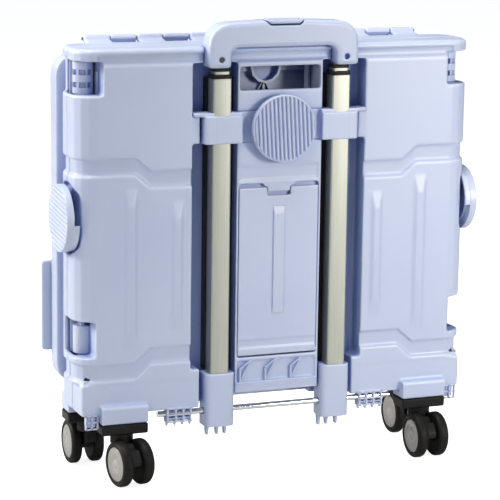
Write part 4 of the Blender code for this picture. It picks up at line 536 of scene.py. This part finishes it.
def moulded(node, grain, rounds, kept, look=None):
    """The node's own form as a moulding: all its edges and corners run soft, as a worn tool leaves them."""
    piece = add_piece(node + "_form", welded_form(node), look or LOOK_OF_SLOT[SLOT_OF[node]])
    remesh = piece.modifiers.new("Grain", "REMESH")
    remesh.mode = "VOXEL"
    remesh.voxel_size = grain
    remesh.use_smooth_shade = True
    smooth = piece.modifiers.new("Soft edges", "SMOOTH")
    smooth.factor = 0.5
    smooth.iterations = rounds
    fewer = piece.modifiers.new("Fewer faces", "DECIMATE")
    fewer.ratio = kept
    settled(piece)
    seat(piece, node, node)


def flat_tube(node):
    """A tube of the node's size with flat faces and small round corners, in the node's place."""
    low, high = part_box(node)
    radius = forms().tube_corner
    outline = []
    for x, y, start in ((high.x, high.y, 0), (low.x, high.y, 90), (low.x, low.y, 180), (high.x, low.y, 270)):
        centre = (x - math.copysign(radius, x - low.x - radius), y - math.copysign(radius, y - low.y - radius))
        outline += arc_points(centre, radius, start, start + 90, 5)
    bm = bmesh.new()
    rings = [[bm.verts.new((x, y, z)) for x, y in outline] for z in (low.z, high.z)]
    skin(bm, rings)
    for ring in rings:
        bm.faces.new(ring)
    seat(add_piece(node + "_form", bm, "Anodised tube"), node, node)


def skin(bm, rings, closed=False, around=True):
    """Faces between neighbouring rings of points. A ring of one point is a pole."""
    pairs = list(zip(rings, rings[1:]))
    if closed:
        pairs.append((rings[-1], rings[0]))
    for low, high in pairs:
        count = max(len(low), len(high))
        for i in range(count if around else count - 1):
            j = (i + 1) % count
            corners = [low[i % len(low)], low[j % len(low)], high[j % len(high)], high[i % len(high)]]
            unique = list(dict.fromkeys(corners))
            if len(unique) > 2:
                bm.faces.new(unique)


def turn_profile(bm, profile, steps, matrix, closed=False, start=0.0, sweep=2 * math.pi):
    """Revolves a (radius, height) profile about the matrix's z axis. A part turn gets flat ends."""
    whole = abs(sweep - 2 * math.pi) < FLAT_ANGLE
    columns = steps if whole else steps + 1
    rings = []
    for radius, height in profile:
        ring = []
        for i in range(columns if radius else 1):
            angle = start + sweep * i / steps
            ring.append(bm.verts.new(matrix @ Vector((radius * math.cos(angle), radius * math.sin(angle), height))))
        rings.append(ring)
    skin(bm, rings, closed, around=whole)
    if not whole:
        bm.faces.new([ring[0] for ring in rings])
        bm.faces.new([ring[-1] for ring in rings])


def arc_points(centre, radius, start, end, count):
    """Points on an arc in a profile's plane, angles in degrees."""
    points = []
    for i in range(count + 1):
        angle = math.radians(start + (end - start) * i / count)
        points.append((centre[0] + radius * math.cos(angle), centre[1] + radius * math.sin(angle)))
    return points


# Knobs


def knob_ribs(bm, inner, matrix, rib):
    """Half-round ribs side by side across a disc of the inner radius, each as long as the disc is there."""
    count = forms().knob_ribs
    pitch = 2 * inner / count
    half = pitch * 0.31
    root = rib * 1.1
    for i in range(count):
        centre = -inner + (i + 0.5) * pitch
        section = []
        for across, up in arc_points((0.0, 0.0), 1.0, 180, 0, 8):
            section.append((centre + half * across, -root + root * up**0.7 if up > 0 else -root))
        ends = []
        for side in (-1, 1):
            ring = []
            for across, height in section:
                reach = math.sqrt(max(inner**2 - across**2, 0.0))
                ring.append(bm.verts.new(matrix @ Vector((side * reach, across, height))))
            ends.append(ring)
        skin(bm, ends, around=False)
        for ring in ends:
            bm.faces.new(ring)
        bm.faces.new([ends[0][0], ends[1][0], ends[1][-1], ends[0][-1]])


def knob_piece(node, radius, matrix, look, rib):
    """A twist knob: half-round ribs across a disc with a rolled rim, and a half skirt below it."""
    steps = forms().turned_steps
    bm = bmesh.new()
    lip = rib * 0.6
    back = -radius * 0.232
    inner = radius - lip
    rim = arc_points((inner, -rib - lip * 0.2), lip, 80, 0, 6)
    foot = arc_points((inner, back + lip), lip, 0, -90, 5)
    turn_profile(bm, [(0.0, -rib), (inner - lip, -rib)] + rim + foot + [(0.0, back)], steps, matrix)
    knob_ribs(bm, inner, matrix, rib)
    tip, wall = 0.001, 0.003
    skirt_out = radius - 0.0004
    skirt_in = skirt_out - wall
    skirt_low = -KNOB_DEPTH
    skirt = [(skirt_in, back + tip), (skirt_in, skirt_low + tip)]
    skirt += arc_points((skirt_in + tip, skirt_low + tip), tip, 180, 270, 4)
    skirt += arc_points((skirt_out - tip, skirt_low + tip), tip, 270, 360, 4)
    skirt += [(skirt_out, back + tip)]
    turn_profile(bm, skirt, steps // 2, matrix, closed=True, start=math.pi, sweep=math.pi)
    hub, hub_low = 0.011, -KNOB_DEPTH - 0.002
    turn_profile(bm, [(0.0, back + tip), (hub, back + tip), (hub, hub_low), (0.0, hub_low)], steps // 2, matrix)
    ring_out, ring_low = 0.028, back - 0.0025
    ring_in = ring_out - 0.0018
    ring = [(ring_in, back + tip), (ring_out, back + tip), (ring_out, ring_low), (ring_in, ring_low)]
    turn_profile(bm, ring, steps // 2, matrix, closed=True)
    seat(add_piece(node + "_form", bm, look), node, node)


class TROLLEY_OT_knobs(bpy.types.Operator):
    """Ribbed twist knobs at both sides and on the tube bracket"""

    bl_idname = "trolley.knobs"
    bl_label = "Twist knobs"

    def execute(self, context):
        shape = forms()
        for side, word in SIDES:
            node = "side_knob_" + word
            low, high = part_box(node)
            outward = Matrix(((0, 0, side, 0), (-1, 0, 0, 0), (0, -side, 0, 0), (0, 0, 0, 1)))
            place = Vector((low.x if side < 0 else high.x, (low.y + high.y) / 2, (low.z + high.z) / 2))
            matrix = Matrix.Translation(place) @ Matrix.Rotation(shape.knob_tilt, 4, "X") @ outward
            radius = max(high.z - low.z, high.y - low.y) / 2
            knob_piece(node, radius, matrix, "Open faces", shape.side_rib_depth)
        low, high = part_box("bracket_knob")
        outward = Matrix(((0, -1, 0, 0), (0, 0, -1, 0), (1, 0, 0, 0), (0, 0, 0, 1)))
        place = Vector(((low.x + high.x) / 2, low.y, (low.z + high.z) / 2))
        matrix = Matrix.Translation(place) @ Matrix.Rotation(shape.centre_tilt, 4, "Y") @ outward
        knob_piece("bracket_knob", (high.x - low.x) / 2, matrix, "Small plastic parts", shape.rib_depth)
        return {"FINISHED"}


# Shells, walls, floor and lid


def six_faces(bm, places):
    """A closed form with six faces on eight places, whose order is that of a count in twos."""
    corners = [bm.verts.new(place) for place in places]
    for face in ((0, 1, 3, 2), (4, 6, 7, 5), (0, 4, 5, 1), (2, 3, 7, 6), (0, 2, 6, 4), (1, 5, 7, 3)):
        bm.faces.new([corners[n] for n in face])


def box_form(bm, low, high):
    """A box between its low and its high corner."""
    six_faces(bm, itertools.product(*zip(low, high)))


def mirrored_box(bm, side, xs, ys, zs):
    """A box on the side with the sign given, with its x range measured from the middle."""
    x = sorted(side * value for value in xs)
    six_faces(bm, itertools.product(x, ys, zs))


def hinge_barrel(name, side, ends, grooves):
    """A wall's hinge barrel in a corner pocket, with rings of slots between narrow bars."""
    low, high = ends
    radius, core, soft = 0.0110, 0.0078, 0.0008
    bars, first, pitch = 7, 20.0, 51.4
    profile = [(0.0, low), (radius - soft, low), (radius, low + soft)]
    for start, end in grooves:
        profile += [(radius, start), (core, start), (core, end), (radius, end)]
    profile += [(radius, high - soft), (radius - soft, high), (0.0, high)]
    place = Matrix.Translation((side * BARREL_X, BARREL_Y, 0.0))
    bm = bmesh.new()
    turn_profile(bm, profile, forms().turned_steps // 2, place)
    for start, end in grooves:
        for i in range(bars):
            turn = place @ Matrix.Rotation(math.radians(first + pitch * i), 4, "Z")
            ranges = (core - soft, radius - 0.0003), (-soft, soft), (start - soft, end + soft)
            six_faces(bm, [turn @ Vector(corner) for corner in itertools.product(*ranges)])
    seat(add_piece(name, bm, "Small plastic parts"), "rear_shell")


def pocket_lining(word, side):
    """The inner side wall of the upper corner pocket and the filled corner above the lower box, on the rear
    shell, and the front shell's walls behind both hinge barrels."""
    bm = bmesh.new()
    mirrored_box(bm, side, (0.1978, 0.1990), (-0.0330, -0.0005), UPPER_POCKET)
    mirrored_box(bm, side, (0.2040, 0.2205), (-0.0325, -0.0080), (0.1060, 0.1135))
    seat(add_piece("rear_lining_" + word, bm, "Open faces"), "rear_shell")
    bm = bmesh.new()
    for heights in (UPPER_POCKET, LOWER_POCKET):
        mirrored_box(bm, side, (0.1980, 0.2235), (0.0095, 0.0110), heights)
    seat(add_piece("front_lining_" + word, bm, "Small plastic parts"), "front_shell")


def corner_cells(name, side):
    """Small open cells at the shell's lower corner."""
    bm = bmesh.new()
    near, far, half, shelf = -0.0362, -0.0330, 0.0007, 0.002
    for place in (0.2060, 0.2125, 0.2190):
        mirrored_box(bm, side, (place - half, place + half), (near, far), (0.0605, 0.0765))
    for level in (0.0612, 0.0687, 0.0760):
        mirrored_box(bm, side, (0.2055, 0.2195), (near, near + shelf), (level - half, level + half))
    seat(add_piece(name, bm, "Small plastic parts"), "rear_shell")


def rod_block(name, side):
    """The open block of ribs that holds the end of the hinge rod: two rows of three cells with pointed feet."""
    bm = bmesh.new()
    near, far, half, shelf, shelf_half = -0.0380, -0.0275, 0.0009, 0.0022, 0.0008
    across, heights = (0.0985, 0.1285), (0.0610, 0.0780)
    foot_step, foot_heights = 0.003, (0.0575, 0.0612)
    for place in (0.1005, 0.1090, 0.1178, 0.1270):
        rib = (place - half, place + half)
        mirrored_box(bm, side, rib, (near, far), heights)
        mirrored_box(bm, side, rib, (near + foot_step, far - foot_step), foot_heights)
    for level in (0.0622, 0.0697, 0.0772):
        mirrored_box(bm, side, across, (near, near + shelf), (level - shelf_half, level + shelf_half))
    mirrored_box(bm, side, across, (far - 0.0015, far), heights)
    piece = add_piece(name, bm, "Small plastic parts")
    rounded_edges(piece, 0.0004, EDGE_SEGMENTS)
    seat(piece, "rear_shell")


def slanted_bar(bm, foot, head, half, depths):
    """A bar that leans in x, from its foot (x, z) to its head (x, z), between two depths."""
    ends = itertools.product((foot, head), (-half, half), depths)
    six_faces(bm, [(x + offset, y, z) for (x, z), offset, y in ends])


def skirt_gussets():
    """Three thin gussets under the hatch's sill, each with an upright foot and a leaning head."""
    bm = bmesh.new()
    depths, half, lean, foot_reach = (-0.0366, -0.0320), 0.0007, 0.013, 0.0480
    for x in (-0.030, 0.0, 0.030):
        slanted_bar(bm, (x - lean, 0.1000), (x - lean, 0.1150), half, depths)
        slanted_bar(bm, (x - lean, 0.1145), (x, 0.1245), half, depths)
    box_form(bm, (-foot_reach, depths[0], 0.0985), (foot_reach, depths[1], 0.0997))
    seat(add_piece("skirt_gussets", bm, "Open faces"), "rear_shell")


def hatch_stop():
    """The stop behind the hatch's top edge: a flat strip on the rear shell's inner face, seen through the gap."""
    bm = bmesh.new()
    box_form(bm, (-0.0470, -0.0302, 0.3050), (0.0470, -0.0288, 0.3250))
    seat(add_piece("hatch_stop", bm, "Moulded plastic"), "rear_shell")


def hatch_ridge():
    """The raised rib down the middle of the hatch, with sloping flanks and ends."""
    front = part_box("hatch_door")[0].y
    foot, crest = front + 0.0014, front - 0.0010
    bm = bmesh.new()
    rings = []
    for half, bottom, top, y in (
        (0.0070, 0.1740, 0.2960, foot),
        (0.0061, 0.1830, 0.2870, crest),
        (0.0051, 0.1845, 0.2855, crest),
    ):
        corners = ((-half, bottom), (half, bottom), (half, top), (-half, top))
        rings.append([bm.verts.new((x, y, z)) for x, z in corners])
    skin(bm, rings)
    for ring in (rings[0], rings[-1]):
        bm.faces.new(ring)
    piece = add_piece("hatch_ridge", bm, "Moulded plastic")
    rounded_edges(piece, 0.0006, 3)
    seat(piece, "hatch_door")


class TROLLEY_OT_shells(bpy.types.Operator):
    """Rear and front shells with soft edges, and the small forms in their pockets and at their feet"""

    bl_idname = "trolley.shells"
    bl_label = "Shells"

    def execute(self, context):
        shape = forms()
        for node in ("rear_shell", "front_shell"):
            moulded(node, shape.mould_grain, shape.mould_rounds, shape.mould_kept)
        for side, word in SIDES:
            hinge_barrel("upper_barrel_" + word, side, UPPER_BARREL, UPPER_GROOVES)
            hinge_barrel("lower_barrel_" + word, side, LOWER_BARREL, ())
            pocket_lining(word, side)
            rod_block("rod_block_" + word, side)
            corner_cells("corner_cells_" + word, side)
        skirt_gussets()
        hatch_stop()
        return {"FINISHED"}


class TROLLEY_OT_panels(bpy.types.Operator):
    """Side walls, floor, lid and hatch"""

    bl_idname = "trolley.panels"
    bl_label = "Walls, floor, lid and hatch"

    def execute(self, context):
        walls = [side + "_" + end + "_wall" for side in ("left", "right") for end in ("rear", "front")]
        for node in walls + ["base_panel"]:
            softened(node, forms().panel_edge)
        kept = forms().mould_kept
        moulded("lid", 0.0014, 3, kept, "Open faces")
        moulded("lid_side_plate", 0.001, 3, kept, "Open faces")
        moulded("hatch_door", 0.0009, 2, kept)
        hatch_ridge()
        for node in ("left_wall_pin", "right_wall_pin", "lid_pin", "hatch_pin"):
            softened(node, 0.0)
        return {"FINISHED"}


class TROLLEY_OT_handle(bpy.types.Operator):
    """Tubes, collars, guides, sockets, bracket, grip and button"""

    bl_idname = "trolley.handle"
    bl_label = "Telescopic handle"

    def execute(self, context):
        shape = forms()
        for side in ("left", "right"):
            for word in ("outer_tube_", "middle_tube_", "inner_tube_"):
                flat_tube(word + side)
            for word in ("outer_collar_", "middle_collar_"):
                softened(word + side, shape.fine_edge)
            softened("tube_guide_" + side, shape.fine_edge)
            moulded("socket_" + side, 0.0007, 3, shape.mould_kept, "Small plastic parts")
        for node, grain, rounds in (("tube_bracket", 0.0007, 3), ("grip", 0.0009, 4), ("release_button", 0.0004, 2)):
            moulded(node, grain, rounds, shape.mould_kept, "Small plastic parts")
        softened("grip_screw", shape.fine_edge, look="Blackened steel")
        softened("hinge_rod", shape.fine_edge)
        return {"FINISHED"}


# Casters


def wheel_piece(word, hand):
    """A wheel on its axle: a round-shouldered tyre, and a dished disc on its outer side."""
    node = f"caster_{word}_wheel_{hand}"
    joint = JOINTS[f"{word}_roll_{hand}"]
    axle = Vector(joint["axis"])
    centre = Vector(joint["pos_m"])
    place = Matrix.Translation(centre) @ Matrix.Rotation(math.atan2(axle.y, axle.x), 4, "Z")
    low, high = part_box(node)
    radius = (high.z - low.z) / 2
    swivel = Vector(JOINTS[word + "_swivel"]["pos_m"])
    side = 1 if (centre - swivel).dot(axle) > 0 else -1
    half, bore, disc, crown = 0.006, 0.003, 0.0188, 0.0042
    steps = forms().turned_steps
    about_x = Matrix(((0, 0, side, 0), (0, 1, 0, 0), (-side, 0, 0, 0), (0, 0, 0, 1)))
    profile = [(bore, -half), (radius - 0.0075, -half), (radius - 0.0070, -half)]
    profile += arc_points((radius - crown, -half + crown), crown, -90, -8, 7)
    profile += arc_points((radius - crown, half - crown), crown, 8, 90, 7)
    profile += [(disc + 0.0006, half), (disc, half - 0.0007), (disc - 0.0002, half - 0.0016), (bore, half - 0.0016)]
    bm = bmesh.new()
    turn_profile(bm, profile, steps, about_x, closed=True)
    tyre = add_piece(node + "_tyre", bm, "Tyre")
    tyre.matrix_world = place
    seat(tyre, node, node)
    cover = [(0.0, half - 0.0004), (0.0050, half - 0.0004), (0.0056, half - 0.0007), (0.0062, half - 0.0004)]
    cover += [(disc - 0.0012, half - 0.0005), (disc - 0.0005, half - 0.0009), (disc - 0.0003, half - 0.0018)]
    cover += [(0.0, half - 0.0018)]
    bm = bmesh.new()
    turn_profile(bm, cover, steps, about_x)
    plate = add_piece(node + "_disc", bm, "Dimpled disc")
    plate.matrix_world = place
    seat(plate, node)


class TROLLEY_OT_casters(bpy.types.Operator):
    """Twin-wheel casters with grey discs and brake levers"""

    bl_idname = "trolley.casters"
    bl_label = "Casters"

    def execute(self, context):
        shape = forms()
        for word in CASTERS:
            for hand in ("a", "b"):
                wheel_piece(word, hand)
            for part in ("plate", "fork", "axle"):
                softened(f"caster_{word}_{part}", shape.small_edge if part != "axle" else shape.fine_edge)
            if word.startswith("rear"):
                softened(f"caster_{word}_brake", shape.small_edge)
        return {"FINISHED"}


# Stage


def aimed_light(data, place, target, power):
    """Puts a lamp in the scene, tinted and pointed at its target."""
    data.energy = power
    data.color = studio().lamp_tint
    light = bpy.data.objects.new(data.name, data)
    light.location = place
    light.rotation_euler = (Vector(target) - Vector(place)).to_track_quat("-Z", "Y").to_euler()
    bpy.context.scene.collection.objects.link(light)


def area_light(name, place, size, power):
    """A round soft box, pointed at the middle of the trolley."""
    data = bpy.data.lights.new(name, "AREA")
    data.shape = "DISK"
    data.size = size
    aimed_light(data, place, MIDDLE, power)


def soft_spot(name, place, target, size, power, cone):
    """A soft cone of light that fades evenly from its middle to its rim."""
    data = bpy.data.lights.new(name, "SPOT")
    data.shadow_soft_size = size
    data.spot_size = cone
    data.spot_blend = 1.0
    aimed_light(data, place, target, power)


def add_camera(scene):
    """The camera at the photo's viewing angle, with its axes made square to each other."""
    room = studio()
    data = bpy.data.cameras.new("Camera")
    data.lens = room.focal
    camera = bpy.data.objects.new("Camera", data)
    right, up = Vector(room.right).normalized(), Vector(room.up).normalized()
    back = right.cross(up).normalized()
    up = back.cross(right)
    camera.matrix_world = Matrix.Translation(room.eye) @ Matrix((right, up, back)).transposed().to_4x4()
    scene.collection.objects.link(camera)
    scene.camera = camera


def add_floor():
    """The floor, which bends up into a backdrop far behind the trolley. The camera sees it lifted to white."""
    room = studio()
    tree, shader = new_material("Studio floor", room.floor, 0.9)
    grain = noise(tree, new_node(tree, "ShaderNodeTexCoord").outputs["Object"], 3.0)
    pale = tuple(room.floor)
    warm = tuple(part * 0.99 for part in pale)
    link(tree, blend_colours(tree, grain, pale, warm), shader.inputs["Base Color"])
    shader.inputs["Emission Color"].default_value = (1.0, 1.0, 1.0, 1.0)
    seen = new_node(tree, "ShaderNodeLightPath").outputs["Is Camera Ray"]
    link(tree, maths(tree, "MULTIPLY", seen, room.glow), shader.inputs["Emission Strength"])
    bm = bmesh.new()
    rings = []
    bend, reach, radius, height = 12.0, 20.0, 2.0, 6.0
    curve = arc_points((bend, radius), radius, -90, 0, 16)
    for y, z in [(-reach, 0.0), (bend, 0.0)] + curve + [(bend + radius, height)]:
        rings.append([bm.verts.new((x, y, z)) for x in (-reach, reach)])
    skin(bm, rings, around=False)
    add_piece("studio_floor", bm, "Studio floor")


class TROLLEY_OT_stage(bpy.types.Operator):
    """Pale floor, soft lights and the camera"""

    bl_idname = "trolley.stage"
    bl_label = "Stage"

    def execute(self, context):
        room = studio()
        add_camera(context.scene)
        add_floor()
        world = bpy.data.worlds.new("Room")
        world.use_nodes = True
        world.node_tree.nodes["Background"].inputs["Color"].default_value = (*room.room_tint, 1.0)
        world.node_tree.nodes["Background"].inputs["Strength"].default_value = room.sky
        context.scene.world = world
        area_light("Key light", (-2.1, 1.1, 1.2), 0.9, room.key)
        area_light("Front light", (-1.3, -1.0, 1.0), 0.7, room.front)
        soft_spot("Fill light", (0.95, -1.6, 0.65), (0.36, 0.0, 0.28), 0.3, room.fill, math.radians(42))
        area_light("Top light", (-0.35, -0.25, 2.3), 1.0, room.top)
        context.scene.view_settings.view_transform = "Standard"
        return {"FINISHED"}


class TROLLEY_PT_panel(bpy.types.Panel):
    """The trolley's sizes and colours, and a button for each group of pieces"""

    bl_idname = "TROLLEY_PT_panel"
    bl_label = "Folding Hobby Trolley"
    bl_space_type = "VIEW_3D"
    bl_region_type = "UI"
    bl_category = "Trolley"

    def draw(self, context):
        for group in SETTINGS:
            settings = getattr(context.scene, group)
            box = self.layout.box()
            for key in settings.bl_rna.properties.keys():
                if key not in ("rna_type", "name"):
                    box.prop(settings, key)
        for operator in OPERATORS:
            self.layout.operator(operator.bl_idname)


SETTINGS = {
    "trolley_colours": TrolleyColours,
    "trolley_forms": TrolleyForms,
    "trolley_studio": TrolleyStudio,
}
OPERATORS = (
    TROLLEY_OT_stage,
    TROLLEY_OT_shells,
    TROLLEY_OT_panels,
    TROLLEY_OT_knobs,
    TROLLEY_OT_handle,
    TROLLEY_OT_casters,
)
CLASSES = (*SETTINGS.values(), *OPERATORS, TROLLEY_PT_panel)


def register():
    for item in CLASSES:
        bpy.utils.register_class(item)
    for name, group in SETTINGS.items():
        setattr(bpy.types.Scene, name, PointerProperty(type=group))


def unregister():
    for name in SETTINGS:
        delattr(bpy.types.Scene, name)
    for item in reversed(CLASSES):
        bpy.utils.unregister_class(item)


def main():
    register()
    make_materials()
    bpy.ops.trolley.stage()
    bpy.ops.trolley.shells()
    bpy.ops.trolley.panels()
    bpy.ops.trolley.knobs()
    bpy.ops.trolley.handle()
    bpy.ops.trolley.casters()


if __name__ == "__main__":
    main()
